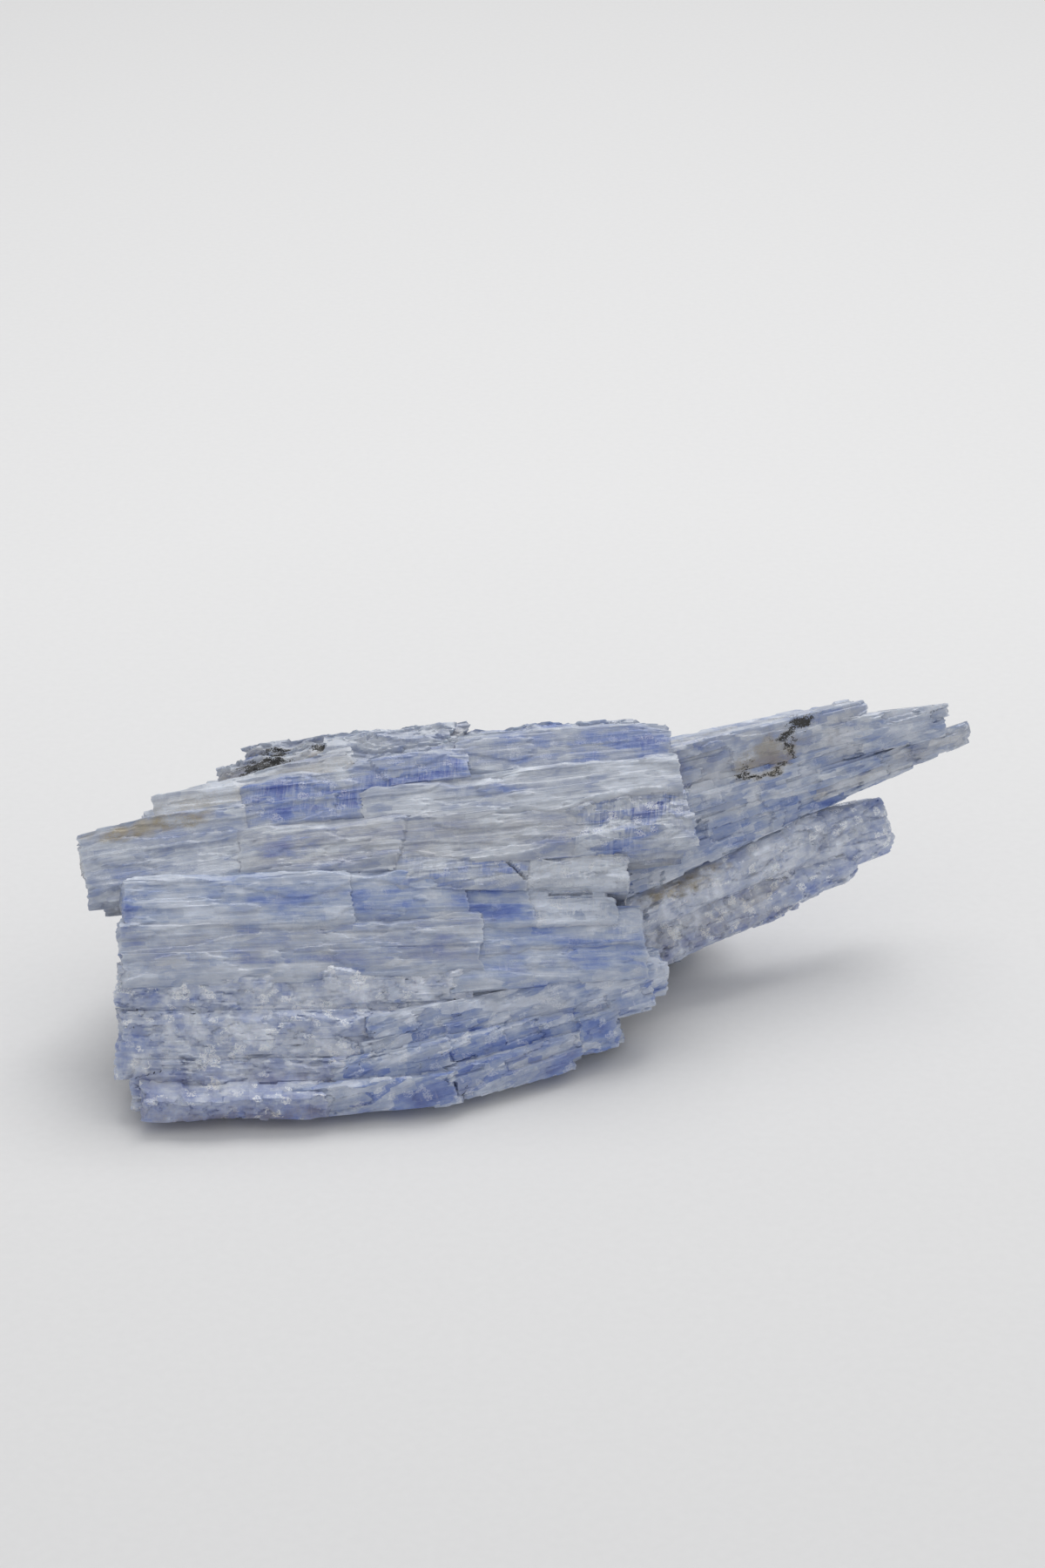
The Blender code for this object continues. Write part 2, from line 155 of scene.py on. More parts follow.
def crumbled(deep, along, across, crumble):
    """The depth of a place where the blades are crushed too, into tilted lumps with chips on them."""
    lump_length, lump_width = CRUSHED["lump"]
    chip_length, chip_width = CRUSHED["chip"]
    lane = across / lump_width + 0.9 * swell(along / 4.0, across / 3.0)
    stretch = along / lump_length + 0.8 * swell(across / 1.3, along / 5.0)
    tilt_along, tilt_across = flake(stretch, lane) - 0.5, flake(stretch + 60, lane) - 0.5
    deep = deep + CRUSHED["tilt"] * crumble * (tilt_along * (stretch % 1.0) + tilt_across * (lane % 1.0))
    deep = deep + CRUSHED["heave"] * crumble * (np.abs(swell(along / 5.0, across / 3.0)) - 0.3)
    chips = flake(along / chip_length + 20, across / chip_width + 9) - 0.5
    chipped = swell(along / 4.0 + 60, across / 2.0) > -0.2
    return deep + CRUSHED["chip_height"] * crumble * chips * chipped


STRIATIONS = ((5.0, 0.34, 0.03), (1.6, 0.2, 0.015))  # length, width and height of the fine ridges on a face


def cleft(along, across, cut, crumble=0.0):
    """How deep a place of a broad face lies below the blade's own, from its place in the grain."""
    along = along + cut["fray"] * swell(along / 2.4, across / 0.35)
    across = across + 0.10 * swell(along / 9.0, across / 2.0)
    long_swell, wide_swell = cut["terrace"]
    rise = swell(along / long_swell, across / wide_swell)
    rise = rise + 0.5 * swell(along / (0.35 * long_swell) + 40, across / (0.4 * wide_swell))
    deep = cut["step"] * (np.floor(cut["levels"] * (1.0 + 0.6 * rise)) - 0.5 * cut["levels"])
    for length, width, depth, share in cut["flakes"]:
        deep = deep + depth * (flake(along / length, across / width) < share)
    for length, width, height in STRIATIONS:
        deep = deep + height * swell(along / length, across / width)
    return crumbled(deep, along, across, crumble) if crumble else deep


CRACK_DEPTH = 0.5
CRACK_WIDTH = 0.3


def cracked(packet, along, across):
    """Depth of the packet's open cracks at places of its face."""
    deep = np.zeros_like(along)
    for points in packet.get("cracks", ()):
        wander = 0.12 * swell(along / 1.3, across / 1.3)
        for (from_along, from_across), (to_along, to_across) in zip(points, points[1:]):
            run, side = to_along - from_along, to_across - from_across
            share = ((along - from_along) * run + (across - from_across) * side) / (run * run + side * side)
            share = np.clip(share, 0.0, 1.0)
            off = np.hypot(along - from_along - share * run, across - from_across - share * side + wander)
            deep = np.maximum(deep, CRACK_DEPTH * (off < CRACK_WIDTH / 2))
    return deep


MARKS = dict(blue=0.42, stain=0.0, soot=0.0, fibre=0.0)  # what patches change, and what is plain
RIM_MARK = 0.3  # share of its own marks that a packet keeps at its rim
RIM_FADE = (2.4, 1.4)  # how far inside its ends and its sides it has them in full
# A ring of film, in half sizes of its patch, and how far it is open at one side.
RING = dict(radius=0.8, half_width=0.3, edge=0.25, uneven=0.35, opening=1.3)


def zoned(slab, along, side):
    """Blue, stain, soot and fibre at places of a packet, along it and across it as a share of its width.

    A patch is an oval with a frayed edge, given by its ends along the packet, its ends across it, what it
    changes and to how much. A ring is stained and sooty, and open at one side.
    """
    packet, length, width = slab["packet"], slab["length"], max(slab["width"])
    end_fade, side_fade = RIM_FADE
    from_end = np.minimum(along, length - along) / end_fade
    inner = np.minimum((0.5 - np.abs(side)) * width / side_fade, from_end)
    inner = np.clip(inner + 0.3 * swell(along / 2.0, side * 4.0), 0.0, 1.0)
    inner = RIM_MARK + (1.0 - RIM_MARK) * inner
    marks = [plain + (packet.get(name, plain) - plain) * inner for name, plain in MARKS.items()]
    for first, last, low, high, name, amount in packet.get("patches", ()):
        off_along = (2 * along - first - last) / (last - first)
        off_side = (2 * side - low - high) / (high - low)
        uneven = 0.7 * swell(along / 2.4, side * 5.0) + 0.5 * swell(along / 0.8, side * 14.0)
        if name == "ring":
            kinds = (("stain", 1.0), ("soot", 0.85))
            from_ring = np.abs(np.hypot(off_along, off_side) - RING["radius"] + RING["uneven"] * uneven)
            opened = np.clip(RING["opening"] + off_along - off_side, 0.0, 1.0)
            inside = (RING["half_width"] - from_ring) / RING["edge"] * opened
        else:
            kinds = ((name, 1.0),)
            inside = (1.1 - off_along ** 2 - off_side ** 2 - uneven) / 1.1
        for kind, share in kinds:
            mark = marks[list(MARKS).index(kind)]
            mark += (amount * share - mark) * np.clip(inside, 0.0, 1.0)
    return marks


blocks = {}


def block(cells, open_backed):
    """A unit box with its sides split into cells, the back too if it shows, as a mesh and its places."""
    if (cells, open_backed) not in blocks:
        shape = bmesh.new()
        bmesh.ops.create_cube(shape, size=1.0, matrix=Matrix.Translation((0.5, 0.5, 0.5)))
        for axis, count in enumerate(cells):
            edges = [edge for edge in shape.edges if abs((edge.verts[1].co - edge.verts[0].co)[axis]) > 0.9]
            if count > 1:
                bmesh.ops.subdivide_edges(shape, edges=edges, cuts=count - 1, use_grid_fill=True)
        if not open_backed:
            hidden = [face for face in shape.faces if face.calc_center_median().z < 0.001]
            bmesh.ops.dissolve_faces(shape, faces=hidden)
        mesh = bpy.data.meshes.new("block")
        shape.to_mesh(mesh)
        shape.free()
        places = np.empty(len(mesh.vertices) * 3)
        mesh.vertices.foreach_get("co", places)
        # The second attribute holds how high a rim stands (white fraying and a painted highlight), how deep
        # a place lies (painted shade and dust) and the blade's tone.
        for label, kind in (("grain", "FLOAT_VECTOR"), ("highlight_shade_tone", "FLOAT_VECTOR"), ("mark", "FLOAT_COLOR")):
            mesh.attributes.new(label, kind, "POINT")
        blocks[cells, open_backed] = (mesh, places.reshape(-1, 3))
    return blocks[cells, open_backed]


def width_at(slab, along):
    """Width of a packet at places along it."""
    first_width, last_width = slab["width"]
    return first_width + (last_width - first_width) * along / slab["length"]


def face_blades(slab, along, across):
    """Height, start and end setback, and tone of the face blade at each place of a packet."""
    share = across / width_at(slab, along) + 0.5
    share = share + 0.012 * swell(along / 3.0, across / 0.7)
    height, back, short, tone = (np.zeros_like(along) for _ in range(4))
    for low, high, lane_back, lane_short, stretches in slab["lanes"]:
        inside = (share >= (low if low > 0.001 else -9)) & (share < (high if high < 0.999 else 9))
        back[inside], short[inside] = lane_back, lane_short
        for first, plane, skew, blade_tone in stretches:
            slant = skew * ((share - low) / (high - low) - 0.5)
            here = inside & (along + 0.25 * swell(along / 3.0, across / 0.4) - slant >= first)
            height[here] = plane[0] + plane[1] * along[here] + plane[2] * across[here]
            tone[here] = blade_tone
    return height, back, short, tone


def grain_place(slab, along, across, out):
    """Where a place of a packet is in the grain that its whole group shares."""
    return [row[0] * along + row[1] * across + row[2] * out + row[3] for row in slab["grain"]]


FEATHER = (0.7, 0.7)  # how far a packet's face sinks towards its start and its end
FEATHER_LENGTH = 4.0
DOME_LENGTH = 6.0  # length over which a domed packet falls away to its end
SKIRT_WIDTH = 0.7  # width over which the bed falls away beside a packet's face


def sunk(slab, along, across, cut):
    """How deep a place of the packet's face lies below its middle plane, and its blade's tone."""
    packet, length = slab["packet"], slab["length"]
    half = width_at(slab, along) / 2
    height, _, _, tone = face_blades(slab, along, across)
    u, v, _ = grain_place(slab, along, across, 0.0)
    past = np.abs(across) - half + 0.8 * swell(u / 5.0, v / 4.0) + 0.3 * swell(u / 1.6, v / 1.2)
    fallen = slab["skirt"] * np.clip(past / SKIRT_WIDTH, 0.0, 1.0)
    fallen = fallen * (0.7 + 0.3 * swell(u / 6.0 + 20, v / 5.0))
    uneven = 0.8 + 0.4 * swell(u / 2.0, v / 1.3)
    for feather, away in zip(packet.get("feather", FEATHER), (along, length - along)):
        fallen = fallen + feather * uneven * np.clip(1.0 - away / FEATHER_LENGTH, 0.0, 1.0) ** 2
    rounded = np.minimum(np.abs(across) / half, 1.2) ** 2.5
    rounded = rounded + np.clip(1.0 - (length - along) / DOME_LENGTH, 0.0, 1.0) ** 2
    fallen = fallen + packet.get("dome", 0.0) * rounded
    relief = cleft(u, v, cut, packet.get("crumble", cut["crumble"]))
    return relief + cracked(packet, along, across) + fallen - height, tone


FADE = 12.0  # length over which the setback of a ragged end dies out
END_RIM = (0.3, 0.5)  # a broken end's rim is whitened, by fraying and by a painted highlight, as much as a ledge this high, and this far in
REACH = 0.16  # how far off a place's neighbours are looked at for its ledges
DEEPEST = 0.7  # share of a blade's depth that may be split away
BACK_SHADE_AND_DUST = 0.8  # a blade's back gets as much painted shade and dust as the foot of a ledge this high
UNDERCUT = 1.4  # height above the table up to which a foot is hollowed out
LEAST_HEIGHT = 0.1  # a blade that rises no higher above the table is left out
allowed = np.array(cad_box)  # nothing stands out past the solid's box
allowed[0, 2] = -1.0  # but what is below the table is cut off later


def cleaved(slab, cut):
    """A packet or a fat blade as a mesh in its place, cleaved and frayed, with what colours its points."""
    first_box, last_box = (np.array(box) for box in slab["boxes"])
    low, high, bottom, top = (first_box + last_box) / 2
    sizes = (slab["length"], high - low, top - bottom)
    cells = tuple(max(1, round(size / cell / 2) * 2) for size, cell in zip(sizes, cut["cell"]))
    mesh, unit = block(cells, slab["open_backed"])
    x, y, z = unit.T
    low, high, bottom, top = (first_box + (last_box - first_box) * x[:, None]).T
    across, out, along = low + (high - low) * y, bottom + (top - bottom) * z, x * slab["length"]
    u, v, w = grain_place(slab, along, across, out)

    _, back, short, _ = face_blades(slab, along, across)
    edge = np.zeros_like(x)
    end_rim_height, rim_length = END_RIM
    for at_end, setback in enumerate((back, short)):
        bed = np.array(slab["bed_ends"])[(y > 0.5).astype(int), at_end]
        setback = np.where(out - top < 0.3 * swell(v / 0.8, w) - slab["skin"], bed, setback)
        ragged = 0.4 + 0.6 * swell(v / 2.4, w / 1.6) + flake(v / 1.3 + at_end * 50, w / 0.7) ** 2
        ragged = cut["ragged"] * np.maximum(0.0, ragged + 0.25 * swell(v / 0.3, w / 0.5))
        away = np.abs(x - at_end) * slab["length"]
        edge = np.maximum(edge, end_rim_height * (1.0 - away / rim_length))
        along = along + (1 - 2 * at_end) * (setback + ragged) * np.maximum(0.0, 1.0 - away / FADE)

    deep, tone = sunk(slab, along, across, cut)
    neighbours = ((REACH, 0), (-REACH, 0), (0, REACH), (0, -REACH))
    around = [sunk(slab, along + further, across + aside, cut)[0] for further, aside in neighbours]
    rim, foot = np.max(around, axis=0) - deep, deep - np.min(around, axis=0)
    rim = np.maximum(rim, edge * (z > 0.99))
    inset = cut["ledge"] * flake(u / 4.0, w / 0.55 + 0.1 * swell(u / 5.0, w)) ** 1.5
    across = across - inset * (2 * y - 1) ** 7
    if slab["open_backed"]:
        bottom = bottom + 0.7 * cleft(u + 30, v, cut)
    out = bottom + (top - np.minimum(deep, DEEPEST * (top - bottom)) - bottom) * z

    local = np.column_stack((along, across, out))
    turn = np.array(slab["place"])
    world = local @ turn[:3, :3].T + turn[:3, 3]
    low_edge = np.clip(1.0 - world[:, 2] / (UNDERCUT * MM), 0.0, 1.0)
    world[:, 1] += cut["undercut"] * MM * low_edge ** 0.5
    world = np.clip(world, *allowed)
    if world[:, 2].max() < LEAST_HEIGHT * MM:
        return None, 0.0
    mesh = mesh.copy()
    mesh.vertices.foreach_set("co", world.ravel())
    grain = np.column_stack(grain_place(slab, along, across, out))
    width = slab["width"][0] + (slab["width"][1] - slab["width"][0]) * x
    marks = zoned(slab, along, across / width)
    # The rim drives white fraying and a painted highlight. The foot of a ledge and a blade's back drive
    # painted shade and dust. The tone is the blade's own.
    highlight_shade_tone = np.column_stack((rim, np.maximum(foot, (1.0 - z) * BACK_SHADE_AND_DUST), tone + slab["tone"]))
    mesh.attributes["grain"].data.foreach_set("vector", grain.ravel())
    mesh.attributes["highlight_shade_tone"].data.foreach_set("vector", highlight_shade_tone.ravel())
    mesh.attributes["mark"].data.foreach_set("color", np.column_stack(marks).ravel())
    return mesh, world[:, 2].min()


STARTS = (100, 190)  # where in the table of relief a group's grain may start
WORN = 0.03  # how unevenly the blades are worn where they lie on the table
SHARP = 32  # degrees between two facets that show an edge


def grown(name, slabs, cut, veer=0.0):
    """One mesh of all the packets of a group, worn flat where they would pass the table.

    They share one grain, which may veer some degrees from the run of the packets.
    """
    along = sum((slab["place"].col[0].xyz for slab in slabs), Vector()).normalized()
    across = sum((slab["place"].col[2].xyz for slab in slabs), Vector()).cross(along).normalized()
    turn = Matrix.Rotation(math.radians(veer), 3, "Z") @ Matrix((along, across, along.cross(across)))
    to_grain = Matrix.Translation(cleave.uniform(*STARTS, 3)) @ (turn * (1 / MM)).to_4x4()
    pile = bmesh.new()
    for slab in slabs:
        slab["grain"] = [list(row) for row in (to_grain @ slab["place"])][:3]
        mesh, lowest = cleaved(slab, cut)
        if mesh is None:
            continue
        if lowest < 0:
            shape = bmesh.new()
            shape.from_mesh(mesh)
            rest = Vector((0, 0, cleave.uniform(0.0, WORN) * MM))
            geometry = [*shape.verts, *shape.edges, *shape.faces]
            bmesh.ops.bisect_plane(shape, geom=geometry, plane_co=rest, plane_no=(0, 0, 1), clear_inner=True)
            bmesh.ops.holes_fill(shape, edges=[edge for edge in shape.edges if edge.is_boundary])
            shape.to_mesh(mesh)
            shape.free()
        pile.from_mesh(mesh)
        bpy.data.meshes.remove(mesh)
    bmesh.ops.recalc_face_normals(pile, faces=pile.faces)
    whole = bpy.data.meshes.new(name)
    pile.to_mesh(whole)
    pile.free()
    whole.shade_smooth()
    whole.set_sharp_from_angle(angle=math.radians(SHARP))
    group = bpy.data.objects.new(name, whole)
    bpy.context.scene.collection.objects.link(group)
    return group


VEIL = (0.50, 0.53, 0.59, 1.0)  # cloudy grey streaks in the pale parts
# painted shade for creases, the foot of ledges and the blades' backs
PAINTED_SHADE = (0.13, 0.15, 0.21, 1.0)
DUST = (0.42, 0.40, 0.36, 1.0)
# white of fibres and partings, and of the painted highlight on rims
FRAYED_WHITE_AND_HIGHLIGHT = (0.72, 0.75, 0.80, 1.0)
# colour of the painted glints
PAINTED_GLINT = (0.94, 0.96, 0.99, 1.0)
OCHRE = (0.36, 0.28, 0.13, 1.0)
BLACK = (0.018, 0.017, 0.016, 1.0)
SWAYS = dict(streak=0.76, cloud=1.0, patch=0.35, hair=0.30)  # how far each pattern sways the blue
FIBRE_SLANT = (0.0, 0.0, 0.2)
KYANITE_IOR = 1.72
SCATTER = dict(weight=0.15, colours=(0.6, 0.8, 1.0), depth=MM)
RELIEF = 0.12 * MM  # height of the finest striations


def node(tree, kind, inputs=(), **settings):
    """A shader node with its settings, and its inputs as values or as links."""
    made = tree.nodes.new(kind)
    for key, value in settings.items():
        setattr(made, key, value)
    for key, value in dict(inputs).items():
        if isinstance(value, bpy.types.NodeSocket):
            tree.links.new(value, made.inputs[key])
        else:
            made.inputs[key].default_value = value
    return made


def kyanite_finish(name, tints, broken=1.0, blocky=0.18):
    """Kyanite: streaks along the grain, fibres across it, white where it frays and a painted highlight on
    its rims, painted glints, painted shade in its creases, dust, ochre and black films.

    The tints are those of its pale, middling, blue and deep blue streaks. Where the blades are crushed,
    the streaks are broken into pieces so many times shorter. Where they are parted into blocks, one
    block differs more in blue from the next.
    """
    pale, mid, blue, deep = tints
    material = bpy.data.materials.new(name)
    material.use_nodes = True
    tree = material.node_tree
    shader = tree.nodes["Principled BSDF"]

    def attribute(label, output="Vector"):
        return node(tree, "ShaderNodeAttribute", attribute_name=label).outputs[output]

    def combined(operation, *values):
        return node(tree, "ShaderNodeMath", enumerate(values), operation=operation).outputs["Value"]

    def product(*values):
        return combined("MULTIPLY", *values)

    def noise(vector, scale, detail=4.0, roughness=0.6):
        stretched = node(tree, "ShaderNodeMapping", {"Vector": vector, "Scale": scale}).outputs["Vector"]
        inputs = {"Vector": stretched, "Scale": 1.0, "Detail": detail, "Roughness": roughness}
        return node(tree, "ShaderNodeTexNoise", inputs).outputs["Fac"]

    def blocks_of(scale, channel):
        stretched = node(tree, "ShaderNodeMapping", {"Vector": grain, "Scale": scale}).outputs["Vector"]
        inputs = {"Vector": stretched, "Scale": 1.0}
        pattern = node(tree, "ShaderNodeTexVoronoi", inputs, distance="CHEBYCHEV")
        return node(tree, "ShaderNodeSeparateColor", {"Color": pattern.outputs["Color"]}).outputs[channel]

    def ramp(value, low, high, to_low=0.0, to_high=1.0):
        inputs = {"Value": value, "From Min": low, "From Max": high, "To Min": to_low, "To Max": to_high}
        return node(tree, "ShaderNodeMapRange", inputs, interpolation_type="SMOOTHSTEP").outputs["Result"]

    def mixed(factor, first, second):
        inputs = {"Factor": factor, "A": first, "B": second}
        return node(tree, "ShaderNodeMix", inputs, data_type="RGBA").outputs["Result"]

    def hairline(value, width):
        return ramp(combined("ABSOLUTE", combined("SUBTRACT", value, 0.5)), 0.0, width, 1.0, 0.0)

    def parted(value, pattern, strength):
        return combined("ADD", value, product(combined("ADD", pattern, -0.5), strength))

    grain = attribute("grain")
    mark = node(tree, "ShaderNodeSeparateColor", {"Color": attribute("mark", "Color")})
    blueness, stain, soot = mark.outputs["Red"], mark.outputs["Green"], mark.outputs["Blue"]
    fibrous = attribute("mark", "Alpha")
    highlight_shade_tone = node(tree, "ShaderNodeSeparateXYZ", {"Vector": attribute("highlight_shade_tone")})
    rim, shade_and_dust, tone = highlight_shade_tone.outputs["X"], highlight_shade_tone.outputs["Y"], highlight_shade_tone.outputs["Z"]

    # The patterns, by how often they change along the grain, across it and out of the face, a millimetre.
    slanted = node(tree, "ShaderNodeMapping", {"Vector": grain, "Rotation": FIBRE_SLANT}).outputs["Vector"]
    waves = dict(
        streak=noise(grain, scale=(0.10 * broken, 1.05, 1.05), detail=7.0, roughness=0.66),
        cloud=noise(grain, scale=(0.16 * broken, 0.34, 0.34), roughness=0.55),
        patch=noise(grain, scale=(0.55, 0.85, 0.85), detail=3.0),
        hair=noise(grain, scale=(0.30, 5.0, 5.0), roughness=0.7),
    )
    veil = noise(grain, scale=(0.13 * broken, 0.42, 0.42), detail=6.0, roughness=0.62)
    fibre = noise(slanted, scale=(3.0, 0.26, 0.26), roughness=0.72)
    grit = noise(grain, scale=(5.0, 6.5, 6.5), roughness=0.65)
    parting = noise(grain, scale=(0.42, 0.035, 0.035), detail=2.0, roughness=0.5)
    lath = blocks_of((0.19 * broken, 0.95, 0.95), "Red")
    bit = blocks_of((0.95, 1.2, 1.2), "Green")

    # The body colour, from pale to deep blue.
    value = blueness
    for pattern, sway in SWAYS.items():
        value = combined("MULTIPLY_ADD", waves[pattern], sway, combined("ADD", value, -sway / 2))
    value = parted(value, lath, combined("MULTIPLY_ADD", fibrous, 0.25, blocky))
    value = parted(value, bit, product(fibrous, 0.5))
    value = combined("ADD", value, tone)
    colours = node(tree, "ShaderNodeValToRGB", {"Fac": value})
    stops = colours.color_ramp.elements
    stops[0].position, stops[0].color = 0.02, (*(min(1.0, part * 1.2 + 0.04) for part in pale), 1.0)
    stops[1].position, stops[1].color = 1.0, (*deep, 1.0)
    for position, colour in ((0.26, pale), (0.48, mid), (0.74, blue)):
        stop = stops.new(position)
        stop.color = (*colour, 1.0)
    body = colours.outputs["Color"]

    # Veils in the pale parts, painted shade in the creases, at the foot of ledges and on the blades' backs,
    # and dust that gathers in patches low down.
    paleness = combined("MULTIPLY_ADD", blueness, -0.6, 0.72)
    body = mixed(product(ramp(veil, 0.46, 0.68), paleness), body, VEIL)
    body = mixed(product(ramp(shade_and_dust, 0.12, 0.9), 0.55), body, PAINTED_SHADE)
    dust = product(ramp(waves["patch"], 0.42, 0.66), ramp(shade_and_dust, 0.10, 0.70))
    body = mixed(product(dust, 0.42), body, DUST)

    # White where fibres lie across the grain and along partings, and on rims, where it is partly white
    # fraying and partly a painted highlight.
    clustered = product(fibrous, ramp(waves["cloud"], 0.36, 0.56))
    across = product(ramp(fibre, 0.40, 0.70), product(clustered, 0.75))
    crossing = product(hairline(parting, 0.010), ramp(waves["streak"], 0.45, 0.62))
    partings = combined("MULTIPLY_ADD", fibrous, 0.2, 0.2)
    white = combined("MAXIMUM", across, product(crossing, partings))
    rim_fray_and_highlight = product(ramp(rim, 0.06, 0.30), ramp(waves["hair"], 0.38, 0.62))
    white = combined("MAXIMUM", white, product(rim_fray_and_highlight, 0.35))
    body = mixed(white, body, FRAYED_WHITE_AND_HIGHLIGHT)

    # Painted glints: white specks on bits where the blades are fibrous or crushed.
    crushed = min(1.0, (broken - 1.0) / 2.0)
    painted_glints = product(ramp(bit, 0.82, 0.90), ramp(grit, 0.42, 0.54))
    body = mixed(product(painted_glints, combined("MULTIPLY_ADD", fibrous, 0.5, 0.8 * crushed)), body, PAINTED_GLINT)

    # Films of weathered rock.
    film = combined("ADD", waves["cloud"], product(grit, 0.6))
    body = mixed(product(product(stain, ramp(film, 0.55, 0.95)), 0.85), body, OCHRE)
    black = ramp(combined("MULTIPLY_ADD", soot, 0.42, grit), 0.72, 0.82)
    body = mixed(product(black, ramp(soot, 0.02, 0.3)), body, BLACK)
    tree.links.new(body, shader.inputs["Base Color"])

    dull = combined("MULTIPLY_ADD", waves["hair"], 0.34, combined("MULTIPLY_ADD", grit, 0.30, 0.02))
    tree.links.new(combined("ADD", dull, product(black, 0.3)), shader.inputs["Roughness"])
    shader.inputs["IOR"].default_value = KYANITE_IOR
    shader.inputs["Subsurface Weight"].default_value = SCATTER["weight"]
    shader.inputs["Subsurface Radius"].default_value = SCATTER["colours"]
    shader.inputs["Subsurface Scale"].default_value = SCATTER["depth"]
    relief = combined("ADD", product(waves["hair"], 0.8), product(grit, 0.4))
    relief = combined("ADD", relief, product(fibre, product(fibrous, 1.4)))
    relief = combined("ADD", relief, product(bit, product(fibrous, 1.6)))
    bump = node(tree, "ShaderNodeBump", {"Height": relief, "Strength": 0.6, "Distance": RELIEF})
    tree.links.new(bump.outputs["Normal"], shader.inputs["Normal"])
    return material


heart_slabs = []
for packet in HEART:
    place, length = packet_place(packet, packet["slope"])
    width, depth = packet["width"], packet["depth"]
    for top, bottom in shares(max(depth), HEART_BLADE):
        for low, high in shares(max(width), HEART_BLADE):
            back, short = (chance.uniform(0, HEART_STEP) for _ in range(2))
            boxes = []
            for at in (0, 1):
                across = (width[at] * (low - 0.5) - OVERLAP, width[at] * (high - 0.5) + OVERLAP)
                boxes.append((*across, -depth[at] * bottom - OVERLAP, OVERLAP - depth[at] * top))
            lean = leaning((length / 2, 0, 0))
            sizes = [[box[side + 1] - box[side] for box in boxes] for side in (0, 2)]
            end_skews(*sizes)  # drawn to keep in step with the solid, whose blades' ends slant
            fat = dict(place=place @ Matrix.Translation((back, 0, 0)) @ lean, length=length - back - short)
            fat.update(packet=packet, boxes=boxes, width=width, lanes=(), bed_ends=((0, 0), (0, 0)))
            fat.update(skin=0.0, skirt=0.0, open_backed=True, tone=cleave.normal(0.0, 0.05))
            heart_slabs.append(fat)
heart = grown("heart_blades", heart_slabs, HEART_CUT)
heart.data.materials.append(kyanite_finish("kyanite_heart", HEART_TINTS))
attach(heart, "root")
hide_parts("kyanite_cluster")

# The front slab. Broad plates of one packet after another lie along the front of the mass, grown to
# the heart behind them and facing up and forward: pale plates, a deep blue block, and a band whose
# lower edge is frayed white.

# A packet may have a nose or a crown, which is how far its outer blades stand back at the start or the
# end, and a dome, which is how far its face falls away at the sides and the end. It may have patches of
# another colour, and cracks, each a line of points along the packet and across it.
FRONT_SLAB = (
    dict(start=(-46.4, -12.3, 20.6), end=(-18.6, -8.9, 20.0), width=(5.6, 5.6), depth=(4, 5), nose=1.2,
         blue=0.38, feather=(0.2, 0.3),
         patches=((11.5, 25.0, -0.4, 0.35, "blue", 0.60), (0, 3, -0.5, 0.2, "blue", 0.7))),
    dict(start=(-21.6, -9.0, 20.2), end=(-5.0, -6.8, 19.5), width=(5.4, 5.6), depth=(5, 5), blue=0.42),
    dict(start=(-8.6, -7.3, 19.2), end=(2.6, -6.0, 18.6), width=(6.6, 6.2), depth=(5, 5), blue=0.60,
         patches=((3, 10, -0.45, -0.1, "blue", 0.86), (3, 10, 0.05, 0.3, "blue", 0.80))),
    dict(start=(-1.6, -6.6, 18.2), end=(11.0, -4.6, 17.8), width=(6.2, 5.4), depth=(5, 5), blue=0.27,
         fibre=0.9, crumble=0.25, cracks=(((5.0, 0.9), (9.6, 0.7)),)),
    dict(start=(-46.0, -16.9, 17.3), end=(-4.0, -11.1, 15.7), width=(6.4, 6.0), depth=(6, 6), nose=1.8,
         blue=0.58, stain=0.25, feather=(0.2, 0.1),
         patches=((14, 39, -0.5, -0.3, "blue", 0.3), (16, 26, -0.15, 0.2, "blue", 0.62),
                  (22, 40, 0.2, 0.5, "blue", 0.6))),
    dict(start=(-7.6, -10.8, 15.7), end=(14.8, -5.9, 14.9), width=(4.8, 4.2), depth=(6, 5), blue=0.58,
         patches=((15, 22, -0.5, 0.5, "blue", 0.34), (15, 22, -0.5, 0.5, "fibre", 0.5))),
    dict(start=(-8.6, -13.5, 13.7), end=(14.6, -8.0, 12.8), width=(4.4, 3.8), depth=(6, 5), blue=0.55),
)
FRONT_BLADES = dict(slope=42, widths=(2.8, 5.4), lengths=(10, 26), stagger=1.3)
PLATE_CUT = dict(
    cell=(0.30, 0.13, 0.5), ragged=0.6, fray=0.6, step=0.13, levels=2.2, terrace=(19, 3.2), crumble=0.0,
    ledge=0.3, undercut=0.0, flakes=((10, 2.3, 0.12, 0.18), (3.8, 1.0, 0.06, 0.16))
)
FRONT_TINTS = ((0.55, 0.60, 0.71), (0.35, 0.42, 0.59), (0.17, 0.25, 0.55), (0.05, 0.11, 0.42))
SKIN = (1.5, 2.3)  # thickness of the face blades, which lie on the packet's bed
FACE_STEP = 0.22  # how far one blade's face may stand above or below the next
BED_SETBACK = (0.5, 1.9)  # how far the bed's ends stand back from the face blades
BED_HALVES = ((-0.5, 0.1), (-0.1, 0.5))  # the two blades of a bed, as shares of its width
BED_MARGIN = 1.0  # how far the bed reaches under the next packets
SKIRT = 0.8  # how far the bed falls away beside a packet's face
FREE_SKIRT = 0.3  # and beside that of a free packet


